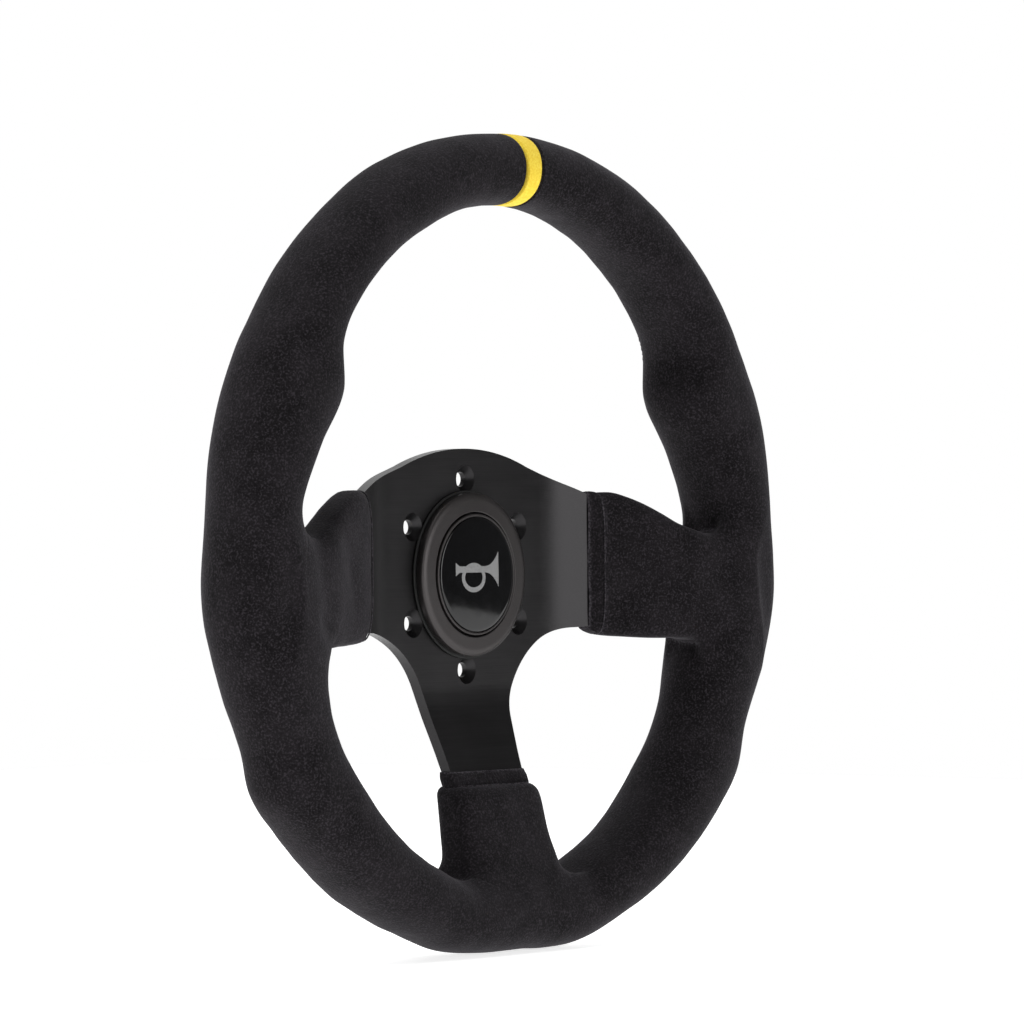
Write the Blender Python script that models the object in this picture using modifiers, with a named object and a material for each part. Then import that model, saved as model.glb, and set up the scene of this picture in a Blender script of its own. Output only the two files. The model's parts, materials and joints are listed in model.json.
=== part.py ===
"""Flat-bottomed three-spoke motorsport steering wheel with a push-button horn unit.

The origin is the centre of the hub's bolt circle, on the hub plate's rear face.
+X is the driver's right, +Y runs along the steering axis away from the driver and
+Z is up with the wheel straight ahead.  Lengths are in metres, angles in degrees.
A height is a distance forward of the hub's rear face, towards the driver (-Y).
"""

import math

import bmesh
import bpy
import numpy as np
from mathutils import Matrix

COLLECTION = "steering_wheel"

# Gap left between neighbouring pieces.
GAP = 0.0003

# Hub plate and its bolt circle.
PLATE = 0.0045
HUB_BORE_R = 0.0253
BOLT_CIRCLE_R = 0.035
BOLT_ANGLES = (90, 30, -30, -90, -150, 150)
BOLT_R = 0.00275
COUNTERSINK_R = 0.0052
SINK_MARGIN = 0.0006
PLATE_CUT = (0.010, -0.005)
HUB_TOP = 0.0462
HUB_ARCH_R = 0.100
HUB_ARCH_HALF_ANGLE = 21

# Side arms: half outline at the hem and at the rim, and the concave lower corner.
ARM_TOP = (
    (0.050, 0.0351),
    (0.064, 0.0297),
    (0.070, 0.0264),
    (0.100, 0.0140),
    (0.113, 0.0120),
    (0.142, 0.0110),
)
ARM_TIP_X = 0.1465
ARM_BOTTOM = ((0.142, -0.0150), (0.100, -0.0185), (0.068, -0.0200))
CORNER_X = 0.0594
CORNER_Z = -0.0572
CORNER_R = 0.0368
CORNER_END = 172
TIP_BEVEL = 0.004

# Lower spoke: half widths down to its tip.
TAIL = ((0.0212, -0.065), (0.0206, -0.072), (0.0185, -0.100), (0.0175, -0.128))
TAIL_TIP_Z = -0.1315

# The three spokes rise forward from the hub to the rim hoop.
DISH = 0.0212
DISH_SLOPE = math.tan(math.radians(20))
SIDE_BEND = 0.049
TAIL_BEND = 0.047
BEND_HALF = 0.004

# Rim grip, in polar stations from the wheel's centre: angle from the driver's right,
# outer radius, inner radius and half depth.  The left half mirrors the right.
RIM_HEIGHT = 0.0213
RIM_STATIONS = (
    (90, 0.1610, 0.1347, 0.0140),
    (66, 0.1609, 0.1334, 0.0165),
    (46, 0.1586, 0.1318, 0.0180),
    (38, 0.1571, 0.1286, 0.0188),
    (32, 0.1586, 0.1175, 0.0191),
    (22, 0.1568, 0.1205, 0.0190),
    (8, 0.1530, 0.1248, 0.0172),
    (-3, 0.1560, 0.1225, 0.0155),
    (-15, 0.1505, 0.1140, 0.0182),
    (-24, 0.1490, 0.1150, 0.0165),
    (-31, 0.1523, 0.1150, 0.0168),
    (-39, 0.1480, 0.1157, 0.0184),
    (-52, 0.1439, 0.1153, 0.0188),
    (-66, 0.1406, 0.1144, 0.0184),
    (-76, 0.1402, 0.1150, 0.0176),
    (-90, 0.1370, 0.1155, 0.0165),
)
RIM_SQUARENESS = 2.2
RIM_STEP = 7.5
SECTION_POINTS = 12
BOOT_POINTS = 16
HEM_POINTS = 16
SUEDE = 0.0013
MARKER_HALF_ANGLE = 1.85
PANEL_SPLIT_ANGLE = -4
SEAM_GAP_ANGLE = 0.15

# Hoop inside the rim: angle and radius of its middle line, and its flat section.
HOOP_STATIONS = (
    (90, 0.1475),
    (45, 0.1455),
    (0, 0.1405),
    (-30, 0.1345),
    (-52, 0.1295),
    (-68, 0.1280),
    (-90, 0.1268),
)
HOOP_WIDTH = 0.010
HOOP_DEPTH = 0.004

# Rivets that hold the spokes to the hoop.
RIVET_R = 0.0020
RIVET_HEAD_R = 0.0034
RIVET_HEAD = 0.0016
RIVET_CUT = (0.040, 0.010)
RIVET_SITES = {
    "rivet_right_upper": (0.1410, 0.0070),
    "rivet_right_lower": (0.1410, -0.0085),
    "rivet_left_upper": (-0.1410, 0.0070),
    "rivet_left_lower": (-0.1410, -0.0085),
    "rivet_bottom_right": (0.0090, -0.1268),
    "rivet_bottom_left": (-0.0090, -0.1268),
}

# Suede boots: distance along the spoke, the two edges across it and half thickness.
SIDE_BOOT = (
    (0.0693, 0.0300, -0.0231, 0.0057),
    (0.0770, 0.0297, -0.0241, 0.0066),
    (0.0900, 0.0248, -0.0246, 0.0078),
    (0.1020, 0.0184, -0.0250, 0.0092),
    (0.1130, 0.0150, -0.0264, 0.0110),
    (0.1240, 0.0145, -0.0280, 0.0125),
    (0.1380, 0.0145, -0.0280, 0.0110),
)
TAIL_BOOT = (
    (0.0768, 0.0231, -0.0231, 0.0072),
    (0.0820, 0.0239, -0.0239, 0.0079),
    (0.0940, 0.0246, -0.0246, 0.0088),
    (0.1060, 0.0272, -0.0272, 0.0106),
    (0.1140, 0.0306, -0.0306, 0.0122),
    (0.1250, 0.0315, -0.0315, 0.0122),
)
BOOT_SQUARENESS = 3.4
SIDE_HEM = (0.0648, 0.0690)
TAIL_HEM = (0.0716, 0.0765)
HEM_CLEARANCE = 0.0007
HEM_THICKNESS = 0.0012
HEM_SQUARENESS = 10.0

# Each spoke's boot stations, hem span and side: +1 right arm, -1 left arm, 0 lower spoke.
SPOKES = {
    "right": (SIDE_BOOT, SIDE_HEM, 1),
    "left": (SIDE_BOOT, SIDE_HEM, -1),
    "bottom": (TAIL_BOOT, TAIL_HEM, 0),
}

# Horn unit, in heights forward of the hub's rear face.
ROUND = 36
BEZEL_R = 0.0300
BEZEL_TOP = 0.0092
BEZEL_EDGE = 0.0078
BEZEL_EASE = 0.0003
BEZEL_SHOULDERS = ((0.0262, 0.0091), (0.0288, 0.0086))
FLANGE_UNDER = 0.0058
BARREL_R = 0.0249
BARREL_END = -0.0060
CAP_BORE_R = 0.0229
LEDGE_TOP = 0.0039
LEDGE_UNDER = 0.0023
LEDGE_R = 0.0190
CHAMBER_R = 0.0214
CLIP_GROOVE_R = 0.0240
CLIP_GROOVE = (-0.0004, -0.0022)
CLIP_R = (0.0243, 0.0276)
CLIP_GAP = 0.008
CLIP_CUT = (0.006, 0.010)
GASKET_R = (0.0252, 0.0309)
CAP_R = 0.0223
CAP_TOP = 0.0097
CAP_UNDER = 0.0067
CAP_RECESS_R = 0.0213
CAP_RECESS_FLOOR = 0.0084
CAP_EASE = 0.0004
SKIRT_R = (0.0164, 0.0184)
SKIRT_END = 0.0020
BOSS_R = 0.0040
BOSS_HOLE_TOP = 0.0062
EMBLEM_R = 0.0209
EMBLEM = 0.0005
LENS_R = 0.0210
LENS_BASE = 0.0095
LENS_EDGE = 0.0099
LENS_CROWN = 0.0107
LENS_STEPS = 6
PLATE_CONTACT_R = 0.0206
PLATE_CONTACT_TOP = 0.0017
PLATE_CONTACT = 0.0008
SCREW_R = 0.0011
SCREW_HEAD_R = 0.0028
SCREW_HEAD = 0.0012
SCREW_TOP = 0.0056
RING_CONTACT_R = (0.0145, 0.0206)
RING_CONTACT = (-0.0019, -0.0025)
BASE_TOP = -0.0028
BASE_R = 0.0211
BASE_FLANGE_R = 0.0246
BASE_FLANGE = (-0.0063, -0.0078)
BASE_BOSS_R = 0.0130
BASE_END = -0.0090
WELL_R = 0.0110
WELL_FLOOR = -0.0075
SPRING_R = 0.0085
SPRING_WIRE_R = 0.0005
SPRING_TURNS = 4
SPRING_STEPS = 10
TERMINAL_X = 0.0170
TERMINAL_SIZE = (0.0008, 0.0063)
TERMINAL_HEIGHTS = (-0.0029, -0.0155)
TERMINAL_CUT = 0.020
BASE_SCREW_CIRCLE_R = 0.0231
BASE_SCREW_R = 0.0008
BASE_SCREW_HEAD_R = 0.0015
BASE_SCREW_HEAD = 0.0011
BASE_SCREW_TOP = -0.0030
BARREL_SCREW_CUT = (-0.0027, -0.008)
BASE_SCREW_CUT = (-0.004, -0.012)
BASE_SCREW_ANGLES = {"top": 90, "left": 210, "right": 330}


# ---------------------------------------------------------------- scene helpers

def clear_scene():
    """Remove whatever the file held."""
    for item in list(bpy.data.objects):
        bpy.data.objects.remove(item)


def new_collection(name):
    """A collection linked to the scene."""
    collection = bpy.data.collections.new(name)
    bpy.context.scene.collection.children.link(collection)
    return collection


def material(name, colour, roughness, metallic=0.0):
    """A Principled material with a linear base colour."""
    made = bpy.data.materials.new(name)
    made.use_nodes = True
    shader = made.node_tree.nodes["Principled BSDF"]
    shader.inputs["Base Color"].default_value = (*colour, 1.0)
    shader.inputs["Roughness"].default_value = roughness
    shader.inputs["Metallic"].default_value = metallic
    return made


def object_from_mesh(name, mesh, finish=None):
    """Put a mesh in the part's collection, or among the cutters when it has no finish."""
    made = bpy.data.objects.new(name, mesh)
    if finish is None:
        CUTTERS.objects.link(made)
        made.hide_render = True
        made.display_type = "WIRE"
    else:
        PARTS.objects.link(made)
        mesh.materials.append(finish)
    return made


def closed_mesh(name, bm, smooth=True):
    """Turn a closed bmesh into a mesh with its faces pointing out."""
    bmesh.ops.recalc_face_normals(bm, faces=bm.faces)
    mesh = bpy.data.meshes.new(name)
    bm.to_mesh(mesh)
    bm.free()
    if smooth:
        mesh.shade_smooth()
        mesh.set_sharp_from_angle(angle=math.radians(35))
    return mesh


def boolean(target, cutter, operation="DIFFERENCE"):
    """Cut or join one object with another."""
    cut = target.modifiers.new(cutter.name, "BOOLEAN")
    cut.operation = operation
    cut.solver = "EXACT"
    cut.object = cutter


def turned(name, profile, finish=None, loop=False, segments=ROUND):
    """Turn a (radius, height) profile about the steering axis.

    The profile runs down its outer side.  A loop is a closed section of a ring.
    """
    count = len(profile)
    edges = [(i, i + 1) for i in range(count - 1)]
    if loop:
        edges.append((count - 1, 0))
    mesh = bpy.data.meshes.new(name)
    mesh.from_pydata([(radius, 0.0, height) for radius, height in profile], edges, [])
    made = object_from_mesh(name, mesh, finish)
    made.rotation_euler = (math.radians(90), 0.0, 0.0)
    screw = made.modifiers.new("turn", "SCREW")
    screw.axis = "Z"
    screw.angle = math.radians(360)
    screw.steps = segments
    screw.render_steps = segments
    screw.use_merge_vertices = True
    screw.merge_threshold = 0.00001
    screw.use_smooth_shade = True
    return made


def ring_profile(inner, outer, top, bottom):
    """A rectangular ring section that runs down its outer side."""
    return [(inner, top), (outer, top), (outer, bottom), (inner, bottom)]


def cone_along_axis(name, x, z, radii, heights, segments=16):
    """A conical cutter along the steering axis, from its top radius and height to its bottom ones."""
    bm = bmesh.new()
    top, bottom = heights
    place = Matrix.Translation((x, -(top + bottom) / 2, z)) @ Matrix.Rotation(math.radians(90), 4, "X")
    bmesh.ops.create_cone(bm, cap_ends=True, segments=segments, radius1=radii[1], radius2=radii[0],
                          depth=top - bottom, matrix=place)
    return object_from_mesh(name, closed_mesh(name, bm))


def cylinder_along_axis(name, x, z, radius, heights, segments=16):
    """A cylindrical cutter along the steering axis, between two heights."""
    return cone_along_axis(name, x, z, (radius, radius), heights, segments)


def block(name, centre, size, finish=None):
    """A box from its centre and its size."""
    bm = bmesh.new()
    place = Matrix.Translation(centre) @ Matrix.Diagonal((*size, 1.0))
    bmesh.ops.create_cube(bm, size=1.0, matrix=place)
    return object_from_mesh(name, closed_mesh(name, bm, smooth=False), finish)


# ---------------------------------------------------------------- flat outlines

def arc(centre_x, centre_z, radius, start, end, count):
    """Points on an arc, from the start angle to the end angle."""
    angles = np.radians(np.linspace(start, end, count))
    return [(centre_x + radius * math.cos(a), centre_z + radius * math.sin(a)) for a in angles]


def on_circle(radius, angle):
    """X and Z of a place on a circle round the steering axis."""
    return radius * math.cos(math.radians(angle)), radius * math.sin(math.radians(angle))


def mirrored_loop(half):
    """Close a right half, which runs from the top to the bottom, with its mirror image."""
    left = [(-x, z) for x, z in reversed(half) if x > 1e-6]
    return half + left


def offset_loop(points, distance):
    """Move a clockwise loop outwards by a distance, with mitred corners."""
    loop = np.array(points)
    before = loop - np.roll(loop, 1, axis=0)
    after = np.roll(loop, -1, axis=0) - loop
    before /= np.linalg.norm(before, axis=1)[:, None]
    after /= np.linalg.norm(after, axis=1)[:, None]
    outward_before = np.stack([-before[:, 1], before[:, 0]], axis=1)
    outward_after = np.stack([-after[:, 1], after[:, 0]], axis=1)
    mitre = outward_before + outward_after
    mitre /= (mitre * outward_after).sum(axis=1)[:, None]
    return [tuple(p) for p in loop + distance * mitre]


def plate_bmesh(loops, thickness, height):
    """A flat plate from closed outlines, with its thickness centred on a height."""
    curve = bpy.data.curves.new("outline", "CURVE")
    curve.dimensions = "2D"
    curve.fill_mode = "BOTH"
    curve.extrude = thickness / 2
    for loop in loops:
        spline = curve.splines.new("POLY")
        spline.points.add(len(loop) - 1)
        for point, (x, z) in zip(spline.points, loop):
            point.co = (x, z, 0.0, 1.0)
        spline.use_cyclic_u = True
    outline = bpy.data.objects.new("outline", curve)
    CUTTERS.objects.link(outline)
    depsgraph = bpy.context.evaluated_depsgraph_get()
    mesh = bpy.data.meshes.new_from_object(outline.evaluated_get(depsgraph))
    bpy.data.objects.remove(outline)
    bm = bmesh.new()
    bm.from_mesh(mesh)
    bpy.data.meshes.remove(mesh)
    bmesh.ops.remove_doubles(bm, verts=bm.verts, dist=0.00001)
    upright = Matrix.Translation((0.0, -height, 0.0)) @ Matrix.Rotation(math.radians(90), 4, "X")
    bmesh.ops.transform(bm, matrix=upright, verts=bm.verts)
    return bm


# ---------------------------------------------------------------- spokes and hoop

def spoke_outline():
    """Outline of the hub with its three spokes, seen from the driver's seat."""
    arch = arc(0.0, HUB_TOP - HUB_ARCH_R, HUB_ARCH_R, 90, 90 - HUB_ARCH_HALF_ANGLE, 7)
    corner = arc(CORNER_X, CORNER_Z, CORNER_R, 90, CORNER_END, 9)
    tips = [(ARM_TIP_X, ARM_TOP[-1][1] - TIP_BEVEL), (ARM_TIP_X, ARM_BOTTOM[0][1] + TIP_BEVEL)]
    half = arch + list(ARM_TOP) + tips + list(ARM_BOTTOM) + corner + list(TAIL)
    half.append((TAIL[-1][0] - TIP_BEVEL, TAIL_TIP_Z))
    return mirrored_loop(half)


def rise(distance, bend):
    """Forward rise of a spoke at a distance from the centre, with rounded bends."""
    def ramp(past):
        rounded = (past + BEND_HALF) ** 2 / (4 * BEND_HALF)
        return np.where(past < -BEND_HALF, 0.0, np.where(past < BEND_HALF, rounded, past))
    run = DISH / DISH_SLOPE
    return DISH_SLOPE * (ramp(distance - bend) - ramp(distance - bend - run))


def dish_height(x, z):
    """Forward rise of the plate at a place on its outline."""
    return rise(np.abs(x), SIDE_BEND) + rise(-z, TAIL_BEND)


def folds(bend):
    """Distances of a spoke's fold lines: three across each of its two bends."""
    starts = (bend, bend + DISH / DISH_SLOPE)
    return [start + fold for start in starts for fold in (-BEND_HALF, 0.0, BEND_HALF)]


def bend_spokes(bm):
    """Cut a flat plate along its fold lines and move the spokes forward."""
    directions = (((1, 0, 0), SIDE_BEND), ((-1, 0, 0), SIDE_BEND), ((0, 0, -1), TAIL_BEND))
    for direction, bend in directions:
        for distance in folds(bend):
            place = [axis * distance for axis in direction]
            geometry = bm.verts[:] + bm.edges[:] + bm.faces[:]
            bmesh.ops.bisect_plane(bm, geom=geometry, plane_co=place, plane_no=direction)
    for vertex in bm.verts:
        vertex.co.y -= float(dish_height(vertex.co.x, vertex.co.z))


def dished_plate(name, grow, finish=None):
    """The hub and its spokes, grown on every side by a clearance for the cutter."""
    outline = spoke_outline()
    if grow:
        outline = offset_loop(outline, grow)
    bm = plate_bmesh([outline], PLATE + 2 * grow, PLATE / 2)
    bend_spokes(bm)
    return object_from_mesh(name, closed_mesh(name, bm), finish)


def build_spoke_frame(finish):
    """The dished plate with its centre bore, countersunk bolt holes and rivet holes."""
    frame = dished_plate("spoke_frame", 0.0, finish)
    boolean(frame, cylinder_along_axis("cut_hub_bore", 0, 0, HUB_BORE_R, PLATE_CUT, ROUND))
    sink_radii = (COUNTERSINK_R + SINK_MARGIN, BOLT_R - SINK_MARGIN)
    sink_heights = (PLATE + SINK_MARGIN, PLATE - (COUNTERSINK_R - BOLT_R) - SINK_MARGIN)
    for angle in BOLT_ANGLES:
        x, z = on_circle(BOLT_CIRCLE_R, angle)
        boolean(frame, cylinder_along_axis(f"cut_bolt_{angle}", x, z, BOLT_R, PLATE_CUT))
        boolean(frame, cone_along_axis(f"cut_sink_{angle}", x, z, sink_radii, sink_heights))
    for name, (x, z) in RIVET_SITES.items():
        boolean(frame, cylinder_along_axis(f"cut_plate_{name}", x, z, RIVET_R + GAP, RIVET_CUT, 10))


def track(stations, column, angles):
    """Read one column of the polar stations at any angles, on a smooth closed curve."""
    right = sorted((row[0], row[column]) for row in stations)
    left = [(180 - angle, value) for angle, value in reversed(right[1:-1])]
    turn = right + left
    knots = np.array([angle for angle, value in turn], dtype=float)
    values = np.array([value for angle, value in turn])
    knots = np.concatenate([knots[-2:] - 360, knots, knots[:3] + 360])
    values = np.concatenate([values[-2:], values, values[:3]])
    slopes = np.zeros_like(values)
    slopes[1:-1] = (values[2:] - values[:-2]) / (knots[2:] - knots[:-2])
    wrapped = (np.asarray(angles, dtype=float) + 90) % 360 - 90
    index = np.clip(np.searchsorted(knots, wrapped, side="right") - 1, 1, len(knots) - 3)
    span = knots[index + 1] - knots[index]
    t = (wrapped - knots[index]) / span
    start = values[index] * (2 * t**3 - 3 * t**2 + 1) + slopes[index] * span * (t**3 - 2 * t**2 + t)
    end = values[index + 1] * (3 * t**2 - 2 * t**3) + slopes[index + 1] * span * (t**3 - t**2)
    return start + end


def hoop_loops(grow):
    """Outer and inner outlines of the flat hoop."""
    angles = np.arange(90, -270, -RIM_STEP)
    middle = track(HOOP_STATIONS, 1, angles)
    half = HOOP_WIDTH / 2 + grow
    turn = np.radians(angles)
    return [
        [(r * math.cos(a), r * math.sin(a)) for r, a in zip(middle + side * half, turn)]
        for side in (1, -1)
    ]


def hoop_top():
    """Height of the hoop's front face, just behind the spokes' ends."""
    return DISH - GAP


def build_hoop(finish):
    """The flat bar hoop inside the rim, with its rivet holes."""
    bm = plate_bmesh(hoop_loops(0.0), HOOP_DEPTH, hoop_top() - HOOP_DEPTH / 2)
    hoop = object_from_mesh("rim_hoop", closed_mesh("rim_hoop", bm), finish)
    for name, (x, z) in RIVET_SITES.items():
        boolean(hoop, cylinder_along_axis(f"cut_hoop_{name}", x, z, RIVET_R + GAP, RIVET_CUT, 10))


def build_rivets(finish):
    """Round-headed rivets through the spokes' ends and the hoop."""
    front = DISH + PLATE + GAP
    rear = hoop_top() - HOOP_DEPTH - GAP
    profile = [
        (0.0, front + RIVET_HEAD),
        (RIVET_HEAD_R * 0.6, front + RIVET_HEAD * 0.8),
        (RIVET_HEAD_R, front + RIVET_HEAD * 0.2),
        (RIVET_HEAD_R, front),
        (RIVET_R, front),
        (RIVET_R, rear),
        (RIVET_HEAD_R * 0.9, rear),
        (RIVET_HEAD_R * 0.9, rear - RIVET_HEAD * 0.7),
        (0.0, rear - RIVET_HEAD),
    ]
    for name, (x, z) in RIVET_SITES.items():
        rivet = turned(name, profile, finish, segments=12)
        rivet.location = (x, 0.0, z)


# ---------------------------------------------------------------- grip and suede

def squircle(count, squareness):
    """Unit points round a superellipse."""
    turn = np.radians(np.arange(count) * 360 / count)
    power = 2 / squareness
    across = np.sign(np.cos(turn)) * np.abs(np.cos(turn)) ** power
    along = np.sign(np.sin(turn)) * np.abs(np.sin(turn)) ** power
    return across, along


def rim_grid(inset):
    """Sections of the whole rim, each a ring of points, set in by a distance."""
    angles = np.arange(-90, 270, RIM_STEP)
    outer = track(RIM_STATIONS, 1, angles)
    inner = track(RIM_STATIONS, 2, angles)
    depth = track(RIM_STATIONS, 3, angles)
    across, along = squircle(SECTION_POINTS, RIM_SQUARENESS)
    radius = (outer + inner)[:, None] / 2 + ((outer - inner) / 2 - inset)[:, None] * across
    turn = np.radians(angles)[:, None]
    y = -RIM_HEIGHT - (depth - inset)[:, None] * along
    return np.stack([radius * np.cos(turn), y, radius * np.sin(turn)], axis=2)


def rim_rings(start, end, inset):
    """Sections of a stretch of the rim, cut straight across the grid's facets at its ends."""
    grid = rim_grid(inset)
    grid = np.concatenate([grid, grid[:1]])
    first, last = (start + 90) / RIM_STEP, (end + 90) / RIM_STEP
    places = [first, *range(math.floor(first) + 1, math.ceil(last)), last]
    rings = []
    for place in places:
        index = min(math.floor(place), len(grid) - 2)
        share = place - index
        rings.append((1 - share) * grid[index] + share * grid[index + 1])
    return rings


def loft(bm, rings, wrap=False):
    """Skin a row of rings with quads and return their vertices."""
    made = [[bm.verts.new(point) for point in ring] for ring in rings]
    pairs = list(zip(made, made[1:]))
    if wrap:
        pairs.append((made[-1], made[0]))
    for first, second in pairs:
        count = len(first)
        for i in range(count):
            j = (i + 1) % count
            bm.faces.new((first[i], first[j], second[j], second[i]))
    return made


def sleeve(name, outer_rings, inner_rings, finish):
    """An open-ended tube between an outer and an inner row of rings."""
    bm = bmesh.new()
    outer = loft(bm, outer_rings)
    inner = loft(bm, inner_rings)
    for end in (0, -1):
        count = len(outer[end])
        for i in range(count):
            j = (i + 1) % count
            bm.faces.new((outer[end][i], outer[end][j], inner[end][j], inner[end][i]))
    return object_from_mesh(name, closed_mesh(name, bm), finish)


def capped(name, rings, finish=None):
    """A solid lofted through a row of rings, with flat ends."""
    bm = bmesh.new()
    made = loft(bm, rings)
    bm.faces.new(made[0])
    bm.faces.new(made[-1])
    return object_from_mesh(name, closed_mesh(name, bm), finish)


def spoke_ring(distance, across, away_from_plate, side):
    """One section across a spoke, centred on the plate's middle at a distance along it."""
    height = PLATE / 2 + float(rise(distance, SIDE_BEND if side else TAIL_BEND))
    y = -height - away_from_plate
    along = np.full_like(y, distance)
    if side:
        return np.stack([side * along, y, across], axis=1)
    return np.stack([across, y, -along], axis=1)


def boot_rings(stations, side, inset):
    """Sections of a boot at its stations and at the folds of the plate inside it."""
    rows = np.array(stations)
    distances = rows[:, 0]
    bends = [d for d in folds(SIDE_BEND if side else TAIL_BEND) if distances[0] < d < distances[-1]]
    across, away = squircle(BOOT_POINTS, BOOT_SQUARENESS)
    rings = []
    for distance in sorted([*distances, *bends]):
        upper, lower, half = (np.interp(distance, distances, rows[:, column]) for column in (1, 2, 3))
        position = (upper + lower) / 2 + ((upper - lower) / 2 - inset) * across
        rings.append(spoke_ring(distance, position, (half - inset) * away, side))
    return rings


def spoke_edges(distance, side):
    """The two edges of a spoke at a distance along it."""
    if side:
        upper = np.interp(distance, [x for x, z in ARM_TOP], [z for x, z in ARM_TOP])
        under = sorted([*ARM_BOTTOM, (CORNER_X, CORNER_Z + CORNER_R)])
        return upper, np.interp(distance, [x for x, z in under], [z for x, z in under])
    half = np.interp(distance, [-z for x, z in TAIL], [x for x, z in TAIL])
    return half, -half


def hem_rings(span, side, clearance):
    """Sections of a hem cuff that follows a spoke between two distances."""
    across, away = squircle(HEM_POINTS, HEM_SQUARENESS)
    rings = []
    for distance in span:
        upper, lower = spoke_edges(distance, side)
        position = (upper + lower) / 2 + ((upper - lower) / 2 + clearance) * across
        rings.append(spoke_ring(distance, position, (PLATE / 2 + clearance) * away, side))
    return rings


def build_grip_foam(finish):
    """Moulded foam round the hoop and the spokes' ends, one piece with channels inside."""
    bm = bmesh.new()
    inset = SUEDE + GAP
    loft(bm, rim_grid(inset), wrap=True)
    foam = object_from_mesh("grip_foam", closed_mesh("grip_foam", bm), finish)
    for name, (stations, _, side) in SPOKES.items():
        boolean(foam, capped(f"foam_{name}", boot_rings(stations, side, inset)), "UNION")
    bm = plate_bmesh(hoop_loops(GAP), HOOP_DEPTH + 2 * GAP, hoop_top() - HOOP_DEPTH / 2)
    boolean(foam, object_from_mesh("cut_hoop", closed_mesh("cut_hoop", bm)))
    boolean(foam, dished_plate("cut_spokes", GAP))
    well = (DISH + PLATE + RIVET_HEAD + 2 * GAP, hoop_top() - HOOP_DEPTH - RIVET_HEAD - 2 * GAP)
    for name, (x, z) in RIVET_SITES.items():
        boolean(foam, cylinder_along_axis(f"cut_foam_{name}", x, z, RIVET_HEAD_R + GAP, well, 12))


def build_rim_panels(finish, marker_finish):
    """Suede panels round the rim, slotted where the spokes' foam passes through."""
    split = PANEL_SPLIT_ANGLE
    top = 90 - MARKER_HALF_ANGLE
    gap = SEAM_GAP_ANGLE
    spans = {
        "suede_upper_right": (split + gap, top - gap),
        "suede_lower_right": (-90 + gap, split - gap),
        "suede_upper_left": (180 - top + gap, 180 - split - gap),
        "suede_lower_left": (180 - split + gap, 270 - gap),
    }
    for name, (start, end) in spans.items():
        panel = sleeve(name, rim_rings(start, end, 0.0), rim_rings(start, end, SUEDE), finish)
        crossing = ["right" if "right" in name else "left"]
        if "lower" in name:
            crossing.append("bottom")
        for spoke in crossing:
            stations, _, side = SPOKES[spoke]
            boolean(panel, capped(f"cut_{name}_{spoke}", boot_rings(stations, side, SUEDE)))
    outer = rim_rings(top, 180 - top, 0.0)
    sleeve("marker_band", outer, rim_rings(top, 180 - top, SUEDE), marker_finish)


def build_boots(finish):
    """Suede boots over the spokes, trimmed to the rim's surface."""
    bm = bmesh.new()
    loft(bm, rim_grid(-GAP), wrap=True)
    rim = object_from_mesh("cut_rim", closed_mesh("cut_rim", bm))
    for name, (stations, _, side) in SPOKES.items():
        outer = boot_rings(stations, side, 0.0)
        inner = boot_rings(stations, side, SUEDE)
        boolean(sleeve(f"suede_boot_{name}", outer, inner, finish), rim)


def build_hems(finish):
    """Folded hem cuffs where the boots end on the bare spokes."""
    for name, (_, span, side) in SPOKES.items():
        outer = hem_rings(span, side, HEM_CLEARANCE + HEM_THICKNESS)
        inner = hem_rings(span, side, HEM_CLEARANCE)
        sleeve(f"hem_{name}", outer, inner, finish)


# ---------------------------------------------------------------- horn unit

def build_bezel(finish):
    """Bezel ring with its barrel, the ledge that stops the cap and the clip groove."""
    profile = [
        (CAP_BORE_R, BEZEL_TOP - BEZEL_EASE),
        (CAP_BORE_R + BEZEL_EASE, BEZEL_TOP),
        *BEZEL_SHOULDERS,
        (BEZEL_R, BEZEL_EDGE),
        (BEZEL_R, FLANGE_UNDER),
        (BARREL_R, FLANGE_UNDER),
        (BARREL_R, CLIP_GROOVE[0]),
        (CLIP_GROOVE_R, CLIP_GROOVE[0]),
        (CLIP_GROOVE_R, CLIP_GROOVE[1]),
        (BARREL_R, CLIP_GROOVE[1]),
        (BARREL_R, BARREL_END),
        (CHAMBER_R, BARREL_END),
        (CHAMBER_R, LEDGE_UNDER),
        (LEDGE_R, LEDGE_UNDER),
        (LEDGE_R, LEDGE_TOP),
        (CAP_BORE_R, LEDGE_TOP),
    ]
    bezel = turned("horn_bezel", profile, finish, loop=True)
    for name, angle in BASE_SCREW_ANGLES.items():
        x, z = on_circle(BASE_SCREW_CIRCLE_R, angle)
        boolean(bezel, cylinder_along_axis(f"cut_barrel_{name}", x, z, SCREW_R, BARREL_SCREW_CUT, 8))


def build_gasket(finish):
    """Thin ring between the bezel and the hub plate."""
    profile = ring_profile(*GASKET_R, FLANGE_UNDER - GAP, PLATE + GAP)
    turned("horn_gasket", profile, finish, loop=True)


def build_retaining_clip(finish):
    """Spring clip in the barrel's groove, behind the hub plate, with a gap at the bottom."""
    top = CLIP_GROOVE[0] - GAP / 2
    bottom = CLIP_GROOVE[1] + GAP
    clip = turned("retaining_clip", ring_profile(*CLIP_R, top, bottom), finish, loop=True)
    boolean(clip, block("cut_clip", (0, -(top + bottom) / 2, -CLIP_R[1]), (CLIP_GAP, *CLIP_CUT)))


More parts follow.
